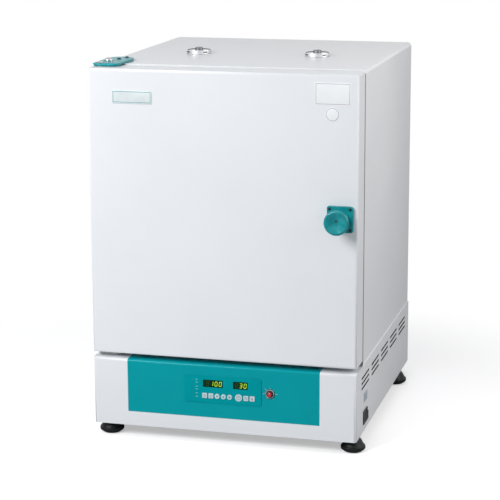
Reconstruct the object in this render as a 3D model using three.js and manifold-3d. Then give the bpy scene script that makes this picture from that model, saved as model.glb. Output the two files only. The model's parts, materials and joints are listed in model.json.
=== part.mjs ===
// Natural convection laboratory oven. Millimetres, +Z up, the door faces -Y.
// Inside the oven's group x = 0 is the middle of the door, y = 0 the door's face and z = 0 the floor.
import * as THREE from "three";
import { mergeVertices } from "three/addons/utils/BufferGeometryUtils.js";
import Module from "manifold-3d";

const wasm = await Module();
wasm.setup();

// Chamber and the walls round it
const chamberWidth = 400;
const chamberDepth = 400;
const chamberHeight = 420;
const chamberCorner = 11; // inside corner radius of the liner
const sideWall = 75; // chamber to the door's side edge
const rearWall = 136; // chamber to the cabinet's back
const floorWall = 87; // top of the base to the chamber's floor
const ceilingWall = 88; // chamber's ceiling to the cabinet's top

// Sheets and clearances
const sheet = 1.5; // painted steel
const linerSheet = 1.2; // stainless steel
const seat = 0.3; // between pieces that touch
const boreClearance = 0.5; // round a shaft or a key in its hole
const woolClearance = 1; // round a tube that passes through the insulation
const over = 1; // how far a cutter runs past the faces it opens

// Door and its pivots
const doorThickness = 58;
const doorEdgeRadius = 6;
const doorUnderGap = 10; // top of the base to the door's bottom edge
const doorTopDrop = 1; // door's top edge below the cabinet's top
const pivotInset = 16; // pivot axis from the door's left edge
const pivotFromRear = 24; // pivot axis in front of the door's rear face
const swingClearance = 1.2; // left at the seam when the door's rear corner swings past
const hingePlateWidth = 56;
const hingePlateLeft = 15; // plate's left edge from the pivot axis
const hingePlateFront = 10; // plate's front edge from the pivot axis
const hingePlateReach = 116; // plate's rear end behind the pivot axis
const hingePlateThickness = 5;
const lowerPlateThickness = 4;
const hingeCornerRadius = 12;
const capNutRadius = 9.5;
const capNutHeight = 7.2;
const capNutCollar = 1.5; // upright part of its side
const capNutFromPivot = [6, 36]; // to the right and to the rear
const pinRadius = 4;
const pinBevel = 1;
const pinEndGap = 2; // past a pin's end in the door
const pinHeadRadius = 7;
const pinHeadHeight = 1.5;
const pinDepth = 22; // how far a pin reaches into the door
const thrustCollarRadius = 8;
const pinBossRadius = 9; // the clearance bored in the door's insulation round a pin

// Handle and latch
const latchInset = 35; // knob's axis from the door's right edge
const latchHeight = 303; // knob's axis above the door's bottom edge
const handlePlateSize = 52;
const handlePlateCorner = 4;
const handlePlateThickness = 6;
const knobRadius = 24.5;
const knobDiscThickness = 9;
const knobRim = 2; // width of the bevels
const knobNeckRadius = 14;
const knobFootRadius = 18;
const knobFootRise = 8; // height of the flare at the knob's foot
const knobReach = 45; // knob's face in front of the door's face
const knobDish = 1.2; // how far the knob's face is dished
const spindleRadius = 5;
const camLength = 32;
const camWidth = 10;
const camThickness = 5;
const camTang = 7; // square end of the spindle
const camBehindFrame = 3; // front frame to the cam
const slotSideClearance = 3; // the cam's arc as the door swings
const keeperWall = 2;
const keeperDepth = 16;
const keeperClearance = 3; // cam's sweep to the keeper's wall

// Seal on the front frame
const sealInset = 4; // chamber's edge to the seal
const sealWidth = 10;
const sealCorner = 14;

// Cabinet
const cabinetInset = 2; // the cabinet's sides stand inside the base's sides
const cabinetCorner = 8;
const rimFlange = 10;

// Vents
const ventSpacing = 256;
const ventFromSeam = 226; // cabinet's front edge to the vents
const ventTubeRadius = 20.5;
const ventTubeWall = 1.5;
const ventFlangeRadius = 25;
const ventFlangeThickness = 1.5;
const ventCollarHeight = 4.2; // tube above its flange
const capWall = 1;
const capTop = 1.5;
const capKnobRadius = 9;
const capKnobHeight = 5;
const ventWindows = 4;
const ventWindowWidth = 11;
const ventWindowSill = 0.8;

// Heaters, probe, rails and shelves
const heaterRadius = 4;
const heaterLegSpacing = 90;
const heaterRise = 22; // chamber's floor to the heater's axis
const heaterFromSide = 60; // chamber's side wall to the outer leg
const heaterFrontGap = 40;
const heaterTail = 60; // tail behind the chamber's rear wall
const coverHeight = 48;
const coverSheet = 1;
const coverSideGap = 16; // liner to the cover's sides, where the rails stand
const coverEndGap = 10;
const coverSlotWidth = 8;
const coverSlotRows = 2;
const coverSlotColumns = 9;
const coverSlotMargin = 30;
const probeRadius = 2.5;
const probeLength = 60;
const probeTail = 40;
const probeTip = 1; // bevel at its end
const probeDrop = 16; // ceiling to the probe's axis
const probeFromSide = 60;
const railPostWidth = 12;
const railPostThickness = 3;
const railPostInset = 60;
const railEndGap = 12;
const rungWidth = 10;
const rungThickness = 2;
const rungCount = 7;
const firstRungRise = 86; // chamber's floor to the first rung
const lastRungDrop = 64; // chamber's ceiling to the last rung
const railTopExtra = 20;
const shelfRodRadius = 3;
const shelfEndRodRadius = 2.6;
const shelfWireRadius = 1.6;
const shelfWires = 15;
const shelfRodGap = 3; // rail post to the shelf's side rod
const shelfRearGap = 3;
const shelfFrontGap = 20; // front frame's face to the shelf
const lowerShelfRung = 1;
const upperShelfRung = 4;

// Base
const footHeight = 26;
const baseEdgeRadius = 6; // rounded top front edge
const baseCorner = 5; // rounded front side edges
const floorPlate = 2;
const deckPlate = 1.5;
const ledge = 12; // flange that carries the deck
const slotLength = 78;
const slotHeight = 4.4;
const slotColumns = 5;
const slotRows = 3;
const slotRowPitch = 10.8;
const slotTopDrop = 24.5; // top of the base to the first row's axis
const slotFrontMargin = 52;
const slotRearMargin = 48;
const rearSlotCount = 6;
const rearSlotPitch = 12;
const rearSlotHeight = 50;
const rearSlotFromSide = 60;
const rearSlotRise = 45;

// Control panel, keypad, displays and keys
const panelSideLeft = 73.5; // base's left side to the panel
const panelSideRight = 75;
const panelThickness = 2.5;
const panelRise = 30; // bottom of the base to the panel
const panelStrip = 8; // ledge behind the panel's side edge
const keypadRise = 31; // panel's bottom edge to the keypad
const keypadTopMargin = 18; // keypad to the start of the rounded edge
const keypadThickness = 1;
const keypadCorner = 3;
const keyRowRise = 15; // keypad's bottom edge to the keys' axes
const displayAboveKeys = 25.6;
const displayDrop = 15.4; // displays' axis to the keypad's top edge
const keyInsetLeft = 37.7; // keypad's left edge to the first key
const keyInsetRight = 13;
const keySize = 10.6;
const keyGap = 2.45;
const startKeySize = 15;
const startKeyGap = 6.1;
const keyCorner = 1;
const keyProud = 1.6; // key's face in front of the keypad
const keyFlange = 1.2;
const keyFlangeEar = 2; // above and below the hole
const keyStemRadius = 2.5;
const keyStemLength = 4;
const keyTravel = 1;
const keyRest = 0.5; // left between stem and board when pressed
const displayInset = 39.5; // keypad's left edge to the first display
const displayGap = 22;
const displayHeight = 15;
const temperatureDisplayWidth = 41;
const timerDisplayWidth = 30;
const boardThickness = 1.6;
const boardMargin = 3;
const boardBossRadius = 3;
const boardBossInset = 5;

// Over-temperature limiter
const limiterBodyRadius = 17.5;
const limiterBodyDepth = 27;
const limiterMargin = 0.5; // keypad's right edge to the limiter's body
const limiterNeckRadius = 6;
const limiterBezelRadius = 10;
const limiterShaftRadius = 3;
const limiterShaftLength = 2.4;
const dialRadius = 7;
const dialHeight = 4;
const dialBevel = 0.8;
const dialPointerWidth = 2;
const dialPointerHeight = 0.6;

// Power switch and inlet
const switchFromFront = 89;
const switchRise = 29.5; // bottom of the base to the switch's axis
const switchLength = 38;
const switchHeight = 28;
const switchBezel = 2;
const switchLip = 2.5; // bezel past its hole
const switchFrame = 2.5; // wall of the switch's well
const switchDepth = 24;
const switchWellExtra = 3; // well's floor behind the rocker's sweep
const rockerDepth = 9; // rocker behind the bezel's face
const rockerPivotDepth = 5; // rocker's axis behind the bezel's face
const rockerTilt = 10; // degrees each side of level
const rockerProud = 1;
const rockerClearance = 1;
const rockerPinRadius = 1.5;
const rockerDip = 1.5; // hollow in the middle of its face
const rockerBevel = 1;
const rockerTaper = 0.6; // length of its inner edge against its face
const inletFromSide = 75;
const inletRise = 69;
const inletWidth = 34;
const inletHeight = 28;
const inletFlange = 2.5;
const inletLip = 3;
const inletWall = 1.8;
const inletDepth = 26;
const inletSocketDepth = 17;

// Parts on the base's floor
const transformerFromLeft = 125;
const transformerFromBack = 170;
const transformerWidth = 80;
const transformerDepth = 66;
const transformerHeight = 68;
const coilInset = 12;
const relayFromLeft = 240;
const relayFromBack = 170;
const relayWidth = 58;
const relayDepth = 45;
const relayHeight = 28;
const relayTab = 7;
const relayTabThickness = 4;
const terminalFromRight = 190;
const terminalFromBack = 80;
const terminalWidth = 90;
const terminalDepth = 30;
const terminalHeight = 28;
const terminalPoles = 5;
const terminalWall = 3;

// Feet
const footInsetLeft = 27; // base's left side to the foot's axis
const footInsetRight = 12;
const footInsetFront = 30;
const footInsetRear = 95;
const footRadius = 25;
const footNeckRadius = 15;
const footSoleRadius = 18;
const footSoleBevel = 5;
const footRimBottom = 7;
const footRimTop = 12;
const footRimBevel = 1;
const studRadius = 4;
const studLength = 16; // above the floor plate
const nutRadius = 7;
const nutHeight = 6;

// Places worked out from the sizes
const keypadHeight = keyRowRise + displayAboveKeys + displayDrop;
const baseHeight = panelRise + keypadRise + keypadHeight + keypadTopMargin + baseEdgeRadius;
const baseBottom = footHeight;
const baseTop = baseBottom + baseHeight;
const chamberFloor = baseTop + floorWall;
const chamberCeiling = chamberFloor + chamberHeight;
const cabinetTop = chamberCeiling + ceilingWall;
const chamberHalf = chamberWidth / 2;
const rungPitch = (chamberHeight - firstRungRise - lastRungDrop) / (rungCount - 1);
const heaterOffset = chamberHalf - heaterFromSide - heaterLegSpacing / 2;
const doorHalf = chamberHalf + sideWall;
const doorSeam = Math.hypot(pivotInset, pivotFromRear) - pivotFromRear + swingClearance;
const cabinetFront = doorThickness + doorSeam;
const cabinetBack = cabinetFront + chamberDepth + rearWall;
const cabinetHalf = doorHalf - cabinetInset;
const cabinetInner = cabinetHalf - sheet;
const baseBack = cabinetBack + cabinetInset;
const doorBottom = baseTop + doorUnderGap;
const doorTop = cabinetTop - doorTopDrop;
const frameFront = cabinetFront + sheet + seat;
const frameBack = frameFront + sheet;
const chamberBack = frameFront + chamberDepth;
const linerHalf = chamberHalf + linerSheet;
const linerBottom = chamberFloor - linerSheet;
const linerTop = chamberCeiling + linerSheet;
const linerBack = chamberBack + linerSheet;
const deckTop = baseTop - seat;
const shelfStripBack = cabinetFront - cabinetInset; // rear edge of the base's top, under the door
const pivotX = -doorHalf + pivotInset;
const pivotY = doorThickness - pivotFromRear;
const latchX = doorHalf - latchInset;
const latchZ = doorBottom + latchHeight;
const ventY = cabinetFront + ventFromSeam;
const railHalf = chamberHalf - seat;
const floorTop = baseBottom + floorPlate;
const overallFront = -knobReach;
const overallBack = baseBack + seat + inletFlange;
const overallLeft = -doorHalf;
const overallRight = doorHalf - footInsetRight + footRadius;

// Finishes
const finish = (color, roughness, metalness = 0) =>
  new THREE.MeshStandardMaterial({ color, roughness, metalness });
const whitePaint = finish(0xe6e9ec, 0.38);
const tealPaint = finish(0x08949c, 0.4);
const tealPlastic = finish(0x2c929b, 0.35);
const tealFilm = finish(0x0b8790, 0.5);
const stainless = finish(0xc8cacb, 0.3, 0.9);
const chrome = finish(0xd8dadb, 0.12, 1);
const zincedSteel = finish(0xaeb2b4, 0.45, 0.8);
const heaterSteel = finish(0x5c5a56, 0.55, 0.7);
const mineralWool = finish(0xcfc59a, 0.95);
const silicone = finish(0x3b3d40, 0.7);
const blackRubber = finish(0x171c1b, 0.75);
const blackPlastic = finish(0x1c1f20, 0.5);
const keyPlastic = finish(0xb9d5dc, 0.45);
const redPlastic = finish(0xc53a48, 0.35);
const displayLens = finish(0x101c14, 0.15);
const boardGreen = finish(0x1f5a38, 0.6);
const windingCopper = finish(0x9a5a33, 0.5, 0.4);
const ceramicWhite = finish(0xddd9cf, 0.5);

// A closed geometry as a solid, turned right side out if its profile ran the other way.
function solidOf(geometry) {
  const bare = geometry.clone();
  bare.deleteAttribute("normal");
  bare.deleteAttribute("uv");
  const merged = mergeVertices(bare, 1e-4);
  const build = (triVerts) =>
    new wasm.Manifold(
      new wasm.Mesh({
        numProp: 3,
        vertProperties: new Float32Array(merged.attributes.position.array),
        triVerts,
      }),
    );
  const triangles = new Uint32Array(merged.index.array);
  const made = build(triangles);
  return made.volume() < 0 ? build(triangles.map(turnedIndex(triangles))) : made;
}

// The same triangles with the last two corners of each changed over.
function turnedIndex(triangles) {
  const partner = [0, 1, -1];
  return (_, i) => triangles[i + partner[i % 3]];
}

function geometryOf(solid) {
  const mesh = solid.getMesh();
  const geometry = new THREE.BufferGeometry();
  geometry.setAttribute("position", new THREE.BufferAttribute(new Float32Array(mesh.vertProperties), 3));
  geometry.setIndex(new THREE.BufferAttribute(new Uint32Array(mesh.triVerts), 1));
  const flat = geometry.toNonIndexed();
  flat.computeVertexNormals();
  return flat;
}

const joined = (first, ...others) => others.reduce((sum, next) => sum.add(next), first);
const cut = (body, ...tools) => tools.reduce((rest, tool) => rest.subtract(tool), body);

// A box given by its limits along X, Y and Z.
function block([x0, x1], [y0, y1], [z0, z1]) {
  const geometry = new THREE.BoxGeometry(x1 - x0, y1 - y0, z1 - z0);
  geometry.translate((x0 + x1) / 2, (y0 + y1) / 2, (z0 + z1) / 2);
  return solidOf(geometry);
}

// Limits of a length centred on a place.
const around = (middle, length) => [middle - length / 2, middle + length / 2];

// A rectangle with four corner radii, from the lower left one anticlockwise.
function roundedOutline([u0, u1], [v0, v1], [a, b, c, d]) {
  const shape = new THREE.Shape();
  shape.moveTo(u0 + a, v0);
  shape.lineTo(u1 - b, v0);
  if (b > 0) shape.absarc(u1 - b, v0 + b, b, -Math.PI / 2, 0);
  shape.lineTo(u1, v1 - c);
  if (c > 0) shape.absarc(u1 - c, v1 - c, c, 0, Math.PI / 2);
  shape.lineTo(u0 + d, v1);
  if (d > 0) shape.absarc(u0 + d, v1 - d, d, Math.PI / 2, Math.PI);
  shape.lineTo(u0, v0 + a);
  if (a > 0) shape.absarc(u0 + a, v0 + a, a, Math.PI, 1.5 * Math.PI);
  return shape;
}

const allCorners = (radius) => [radius, radius, radius, radius];

// An outline carried along one axis; steps is the number of straight pieces in each rounded corner.
function extruded(shape, length, steps) {
  return new THREE.ExtrudeGeometry(shape, { depth: length, bevelEnabled: false, curveSegments: steps });
}

function alongZ(shape, [z0, z1], steps = 4) {
  return solidOf(extruded(shape, z1 - z0, steps).translate(0, 0, z0));
}

// The outline is drawn in X and Z.
function alongY(shape, [y0, y1], steps = 4) {
  return solidOf(extruded(shape, y1 - y0, steps).rotateX(Math.PI / 2).translate(0, y1, 0));
}

// The outline is drawn in Y and Z.
function alongX(shape, [x0, x1], steps = 4) {
  const turn = new THREE.Matrix4().makeBasis(
    new THREE.Vector3(0, 1, 0),
    new THREE.Vector3(0, 0, 1),
    new THREE.Vector3(1, 0, 0),
  );
  return solidOf(extruded(shape, x1 - x0, steps).applyMatrix4(turn).translate(x0, 0, 0));
}

// A profile of [radius, height] points turned about the Z axis, or about Y when it is laid over.
function turned(profile, sides = 24) {
  const points = profile.map(([radius, height]) => new THREE.Vector2(radius, height));
  return new THREE.LatheGeometry(points, sides).rotateX(Math.PI / 2);
}

const layAlongY = (geometry) => geometry.rotateX(-Math.PI / 2);
const layAlongX = (geometry) => geometry.rotateY(Math.PI / 2);

// A plain rod between two heights.
const rod = (radius, [h0, h1], sides) => turned([[0, h0], [radius, h0], [radius, h1], [0, h1]], sides);

const rodAlongZ = (radius, x, y, range, sides = 20) =>
  solidOf(rod(radius, range, sides).translate(x, y, 0));
const rodAlongY = (radius, x, z, range, sides = 20) =>
  solidOf(layAlongY(rod(radius, range, sides)).translate(x, 0, z));
const rodAlongX = (radius, y, z, range, sides = 20) =>
  solidOf(layAlongX(rod(radius, range, sides)).translate(0, y, z));

const oven = new THREE.Group();
const cabinet = new THREE.Group();
const chamber = new THREE.Group();
const door = new THREE.Group();
const base = new THREE.Group();
const controls = new THREE.Group();
oven.add(cabinet, chamber, door, base, controls);
oven.position.set(-(overallLeft + overallRight) / 2, -(overallFront + overallBack) / 2, 0);

function addPiece(group, name, solid, material, place = [0, 0, 0]) {
  const mesh = new THREE.Mesh(geometryOf(solid), material);
  mesh.name = name;
  mesh.position.set(...place);
  group.add(mesh);
  return mesh;
}

// Hole for a vent's tube in a sheet or in the insulation.
const ventHoleSides = 12;
const ventHole = (side, clearance, range) =>
  rodAlongZ(
    (ventTubeRadius + clearance) / Math.cos(Math.PI / ventHoleSides),
    (side * ventSpacing) / 2,
    ventY,
    range,
    ventHoleSides,
  );

// Cabinet casing: one sheet bent over the sides and the top, with a narrow flange round its front.
function casing() {
  const bodyY = [cabinetFront, cabinetBack];
  const outer = roundedOutline(
    [-cabinetHalf, cabinetHalf],
    [baseTop, cabinetTop],
    [0, 0, cabinetCorner, cabinetCorner],
  );
  const innerCorner = cabinetCorner - sheet;
  const inner = roundedOutline(
    [-cabinetInner, cabinetInner],
    [baseTop - sheet, cabinetTop - sheet],
    [0, 0, innerCorner, innerCorner],
  );
  const rimHalf = cabinetInner - rimFlange;
  const hollow = alongY(inner, [cabinetFront + sheet, cabinetBack + sheet]);
  const mouth = block(
    [-rimHalf, rimHalf],
    [cabinetFront - sheet, frameFront],
    [baseTop - sheet, cabinetTop - rimFlange],
  );
  const holes = [-1, 1].map((side) =>
    ventHole(side, seat, [cabinetTop - 2 * cabinetCorner, cabinetTop + over]),
  );
  return cut(alongY(outer, bodyY), hollow, mouth, ...holes);
}
addPiece(cabinet, "outer_cabinet", casing(), whitePaint);

const innerSpaceX = [-(cabinetInner - seat), cabinetInner - seat];
const innerSpaceZ = [baseTop + seat, cabinetTop - sheet - seat];

// Back panel: set in flush with the casing's rear edges.
const backPanel = alongY(
  roundedOutline(innerSpaceX, innerSpaceZ, [0, 0, cabinetCorner - sheet, cabinetCorner - sheet]),
  [cabinetBack - sheet, cabinetBack],
);
addPiece(cabinet, "back_panel", backPanel, whitePaint);

// Front frame: the plate between the casing and the chamber's mouth, with a slot for the latch cam.
const camSlotHalf = camWidth / 2 + slotSideClearance;
function frontFrame() {
  const plate = alongY(
    roundedOutline(innerSpaceX, innerSpaceZ, [0, 0, cabinetCorner - sheet, cabinetCorner - sheet]),
    [frameFront, frameBack],
  );
  const mouth = alongY(
    roundedOutline(
      [-linerHalf - seat, linerHalf + seat],
      [linerBottom - seat, linerTop + seat],
      allCorners(chamberCorner + linerSheet + seat),
    ),
    [frameFront - over, frameBack + over],
  );
  const camSlot = block(
    [latchX - camSlotHalf, latchX + camSlotHalf],
    [frameFront - over, frameBack + over],
    around(latchZ, camLength + 2 * slotSideClearance),
  );
  return cut(plate, mouth, camSlot);
}
addPiece(cabinet, "front_frame", frontFrame(), stainless);

// Seal: a silicone ring on the frame that the closed door meets.
function frameSeal() {
  const y = [doorThickness + seat, frameFront - seat];
  const inside = sealInset + linerSheet;
  const ring = (grow, corner) =>
    roundedOutline(
      [-chamberHalf - grow, chamberHalf + grow],
      [chamberFloor - grow, chamberCeiling + grow],
      allCorners(corner),
    );
  const outer = alongY(ring(inside + sealWidth, sealCorner + sealWidth), y);
  const inner = alongY(ring(inside, sealCorner), [y[0] - over, y[1] + over]);
  return cut(outer, inner);
}
addPiece(cabinet, "frame_seal", frameSeal(), silicone);

// Keeper: the box behind the frame in which the cam turns.
const keeperRadius = camLength / 2 + keeperClearance;
const keeperHalf = keeperRadius + keeperWall;
const keeperFront = frameBack + seat;
function latchKeeper() {
  const body = block(
    around(latchX, 2 * keeperHalf),
    [keeperFront, keeperFront + keeperDepth],
    around(latchZ, 2 * keeperHalf),
  );
  const pocketY = [keeperFront - over, keeperFront + keeperDepth - keeperWall];
  const pocket = rodAlongY(keeperRadius, latchX, latchZ, pocketY, 24);
  return cut(body, pocket);
}
addPiece(cabinet, "latch_keeper", latchKeeper(), zincedSteel);

// Deck: the plate between the base and the insulated cabinet, resting on the base's ledges.
const deckBack = baseBack - sheet - seat;
const deckBottom = deckTop - deckPlate;
const baseInner = doorHalf - sheet;
const deck = block(
  [-baseInner + seat, baseInner - seat],
  [shelfStripBack + seat, deckBack],
  [deckBottom, deckTop],
);
addPiece(cabinet, "cabinet_deck", deck, zincedSteel);

// Chamber liner: a stainless box open at the front, with holes for vents, heaters and probe.
const heaterLegs = [-1, 1].flatMap((side) =>
  [-1, 1].map((leg) => side * heaterOffset + (leg * heaterLegSpacing) / 2),
);
const heaterZ = chamberFloor + heaterRise;
const probeX = chamberHalf - probeFromSide;
const probeZ = chamberCeiling - probeDrop;
const ventHoles = (clearance, range) => [-1, 1].map((side) => ventHole(side, clearance, range));
const rearHoles = (clearance, range) => [
  ...heaterLegs.map((x) => rodAlongY(heaterRadius + clearance, x, heaterZ, range, 12)),
  rodAlongY(probeRadius + clearance, probeX, probeZ, range, 12),
];
function chamberLiner() {
  const outer = roundedOutline(
    [-linerHalf, linerHalf],
    [linerBottom, linerTop],
    allCorners(chamberCorner + linerSheet),
  );
  const inner = roundedOutline(
    [-chamberHalf, chamberHalf],
    [chamberFloor, chamberCeiling],
    allCorners(chamberCorner),
  );
  return cut(
    alongY(outer, [frameFront, linerBack]),
    alongY(inner, [frameFront - over, chamberBack]),
    ...ventHoles(seat, [chamberCeiling - over, linerTop + over]),
    ...rearHoles(seat, [chamberBack - over, linerBack + over]),
  );
}
addPiece(chamber, "chamber_liner", chamberLiner(), stainless);

// Insulation: a jacket round the liner and a slab behind it.
const woolBack = cabinetBack - sheet - seat;
function insulationJacket() {
  const slab = alongY(
    roundedOutline(innerSpaceX, innerSpaceZ, [0, 0, cabinetCorner, cabinetCorner]),
    [frameBack + seat, woolBack],
  );
  const hollow = alongY(
    roundedOutline(
      [-linerHalf - seat, linerHalf + seat],
      [linerBottom - seat, linerTop + seat],
      allCorners(chamberCorner + linerSheet),
    ),
    [frameBack, woolBack + over],
  );
  const keeperPocket = block(
    around(latchX, 2 * (keeperHalf + seat)),
    [frameBack, keeperFront + keeperDepth + seat],
    around(latchZ, 2 * (keeperHalf + seat)),
  );
  return cut(
    slab,
    hollow,
    keeperPocket,
    ...ventHoles(woolClearance, [linerTop, cabinetTop]),
  );
}
addPiece(cabinet, "insulation_jacket", insulationJacket(), mineralWool);

function rearInsulation() {
  const corners = allCorners(chamberCorner + linerSheet);
  const outline = roundedOutline([-linerHalf, linerHalf], [linerBottom, linerTop], corners);
  const slab = alongY(outline, [linerBack + seat, woolBack]);
  const holeEnd = chamberBack + Math.max(heaterTail, probeTail) + 2 * woolClearance;
  return cut(slab, ...rearHoles(woolClearance, [linerBack, holeEnd]));
}
addPiece(cabinet, "rear_insulation", rearInsulation(), mineralWool);

// Vent ports: a tube from the chamber's ceiling through the top, with a flange and a windowed collar.
const flangeBottom = cabinetTop + seat;
const flangeTop = flangeBottom + ventFlangeThickness;
const collarTop = flangeTop + ventCollarHeight;
function windowCuts(radius, [z0, z1], firstAngle) {
  const reach = radius + 2 * over;
  return Array.from({ length: ventWindows / 2 }, (_, i) => {
    const geometry = new THREE.BoxGeometry(2 * reach, ventWindowWidth, z1 - z0);
    geometry.translate(0, 0, (z0 + z1) / 2);
    geometry.rotateZ(firstAngle + (i * 2 * Math.PI) / ventWindows);
    return solidOf(geometry);
  });
}
function ventPort() {
  const inner = ventTubeRadius - ventTubeWall;
  const profile = [
    [inner, chamberCeiling],
    [ventTubeRadius, chamberCeiling],
    [ventTubeRadius, flangeBottom],
    [ventFlangeRadius, flangeBottom],
    [ventFlangeRadius, flangeTop],
    [ventTubeRadius, flangeTop],
    [ventTubeRadius, collarTop],
    [inner, collarTop],
    [inner, chamberCeiling],
  ];
  const windows = windowCuts(ventTubeRadius, [flangeTop + ventWindowSill, collarTop - ventWindowSill], 0);
  return cut(solidOf(turned(profile)), ...windows);
}

// Vent dampers: a cap over the port whose skirt has windows too; turning it closes or opens the vent.
const capInnerRadius = ventFlangeRadius + boreClearance;
const capOuterRadius = capInnerRadius + capWall;
const capUnder = collarTop + seat;
const capBottom = flangeBottom + seat;
const damperTop = capUnder + capTop + capKnobHeight;
function ventDamper() {
  const face = capUnder + capTop;
  const bevel = capWall / 2;
  const profile = [
    [0, capUnder],
    [capInnerRadius, capUnder],
    [capInnerRadius, capBottom],
    [capOuterRadius, capBottom],
    [capOuterRadius, face - bevel],
    [capOuterRadius - bevel, face],
    [capKnobRadius + bevel, face],
    [capKnobRadius, face + bevel],
    [capKnobRadius, damperTop - 2 * bevel],
    [capKnobRadius - 2 * bevel, damperTop],
    [0, damperTop],
  ];
  const quarter = Math.PI / ventWindows;
  const windowZ = [flangeTop + ventWindowSill, capUnder - ventWindowSill];
  const windows = windowCuts(capOuterRadius, windowZ, quarter);
  const core = rodAlongZ(capInnerRadius - over, 0, 0, [capBottom, capUnder + capTop / 2]);
  return cut(solidOf(turned(profile)), ...windows.map((window) => window.subtract(core)));
}
for (const [name, side] of [["left", -1], ["right", 1]]) {
  const place = [(side * ventSpacing) / 2, ventY, 0];
  addPiece(cabinet, `vent_port_${name}`, ventPort(), stainless, place);
  addPiece(cabinet, `vent_damper_${name}`, ventDamper(), chrome, place);
}

// Heaters: a hairpin of sheathed rod each, whose legs run out through the chamber's rear wall.
class Hairpin extends THREE.Curve {
  constructor(halfGap, straight) {
    super();
    this.halfGap = halfGap;
    this.straight = straight;
    this.bend = Math.PI * halfGap;
  }

  getPoint(t, target = new THREE.Vector3()) {
    const along = t * (2 * this.straight + this.bend) - this.straight;
    if (along <= 0) return target.set(-this.halfGap, -along, 0);
    if (along >= this.bend) return target.set(this.halfGap, along - this.bend, 0);
    const angle = along / this.halfGap;
    return target.set(-this.halfGap * Math.cos(angle), -this.halfGap * Math.sin(angle), 0);
  }
}
const heaterSteps = 36;
const heaterSides = 8;
const bendY = frameFront + heaterFrontGap + heaterLegSpacing / 2;
function heater() {
  const section = new THREE.Shape();
  section.absarc(0, 0, heaterRadius, 0, 2 * Math.PI);
  const path = new Hairpin(heaterLegSpacing / 2, chamberBack + heaterTail - bendY);
  const geometry = new THREE.ExtrudeGeometry(section, {
    steps: heaterSteps,
    extrudePath: path,
    curveSegments: heaterSides,
    bevelEnabled: false,
  });
  return solidOf(geometry);
}
for (const [name, side] of [["left", -1], ["right", 1]]) {
  addPiece(chamber, `heater_${name}`, heater(), heaterSteel, [side * heaterOffset, bendY, heaterZ]);
}

// Heater cover: a slotted plate on two side flanges, over the heaters.
const coverHalf = chamberHalf - coverSideGap;
function heaterCover() {
  const y = [frameFront + coverEndGap, chamberBack - coverEndGap];
  const z = [chamberFloor + seat, chamberFloor + coverHeight];
  const body = block([-coverHalf, coverHalf], y, z);
  const under = block(
    [-coverHalf + coverSheet, coverHalf - coverSheet],
    [y[0] - over, y[1] + over],
    [z[0] - over, z[1] - coverSheet],
  );
  const slotSpan = (y[1] - y[0] - (coverSlotRows + 1) * coverSlotMargin) / coverSlotRows;
  const columnPitch = (2 * (coverHalf - coverSlotMargin)) / (coverSlotColumns - 1);
  const slotZ = [z[1] - 2 * coverSheet, z[1] + over];
  const slots = [];
  for (let row = 0; row < coverSlotRows; row += 1) {
    const start = y[0] + coverSlotMargin + row * (slotSpan + coverSlotMargin);
    for (let column = 0; column < coverSlotColumns; column += 1) {
      const x = -coverHalf + coverSlotMargin + column * columnPitch;
      slots.push(block(around(x, coverSlotWidth), [start, start + slotSpan], slotZ));
    }
  }
  return cut(body, under, ...slots);
}
addPiece(chamber, "heater_cover", heaterCover(), stainless);

// Temperature probe: a rod through the rear wall.
const probe = solidOf(
  layAlongY(
    turned(
      [
        [0, -probeLength],
        [probeRadius - probeTip, -probeLength],
        [probeRadius, -probeLength + probeTip],
        [probeRadius, probeTail],
        [0, probeTail],
      ],
      12,
    ),
  ),
);
addPiece(chamber, "temperature_probe", probe, stainless, [probeX, chamberBack, probeZ]);

// Shelf rails: two posts and a ladder of rungs at each side of the chamber.
const firstRung = chamberFloor + firstRungRise;
const lastRung = firstRung + (rungCount - 1) * rungPitch;
const rungInner = railHalf - railPostThickness - rungWidth;
function shelfRail(side) {
  const across = (near, far) => (side < 0 ? [-far, -near] : [near, far]);
  const postX = across(railHalf - railPostThickness, railHalf);
  const posts = [frameFront + railPostInset, chamberBack - railPostInset].map((y) =>
    block(postX, around(y, railPostWidth), [chamberFloor + chamberCorner, lastRung + railTopExtra]),
  );
  const rungs = Array.from({ length: rungCount }, (_, i) => {
    const top = firstRung + i * rungPitch;
    return block(
      across(rungInner, railHalf - railPostThickness / 2),
      [frameFront + railEndGap, chamberBack - railEndGap],
      [top - rungThickness, top],
    );
  });
  return joined(...posts, ...rungs);
}
addPiece(chamber, "shelf_rail_left", shelfRail(-1), stainless);
addPiece(chamber, "shelf_rail_right", shelfRail(1), stainless);

// Wire shelves: a rod frame with wires from front to back, on the rails' rungs.
const shelfHalf = railHalf - railPostThickness - shelfRodGap - shelfRodRadius;
const shelfFront = frameFront + shelfFrontGap;
const shelfBack = chamberBack - shelfRearGap;
function wireShelf() {
  const rodSides = 8;
  const wireSides = 6;
  const lip = shelfRodRadius;
  const near = shelfFront + lip;
  const far = shelfBack - lip;
  const sideRods = [-shelfHalf, shelfHalf].map((x) =>
    rodAlongY(shelfRodRadius, x, 0, [near - lip, far + lip], rodSides),
  );
  const endRods = [near, far].map((y) =>
    rodAlongX(shelfEndRodRadius, y, 0, [-shelfHalf, shelfHalf], rodSides),
  );
  const pitch = (2 * shelfHalf) / (shelfWires + 1);
  const wires = Array.from({ length: shelfWires }, (_, i) =>
    rodAlongY(shelfWireRadius, -shelfHalf + (i + 1) * pitch, shelfWireRadius / 2, [near, far], wireSides),
  );
  return joined(...sideRods, ...endRods, ...wires);
}
for (const [name, rung] of [["lower", lowerShelfRung], ["upper", upperShelfRung]]) {
  const z = firstRung + rung * rungPitch + seat + shelfRodRadius;
  addPiece(chamber, `shelf_${name}`, wireShelf(), stainless, [0, 0, z]);
}

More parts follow.
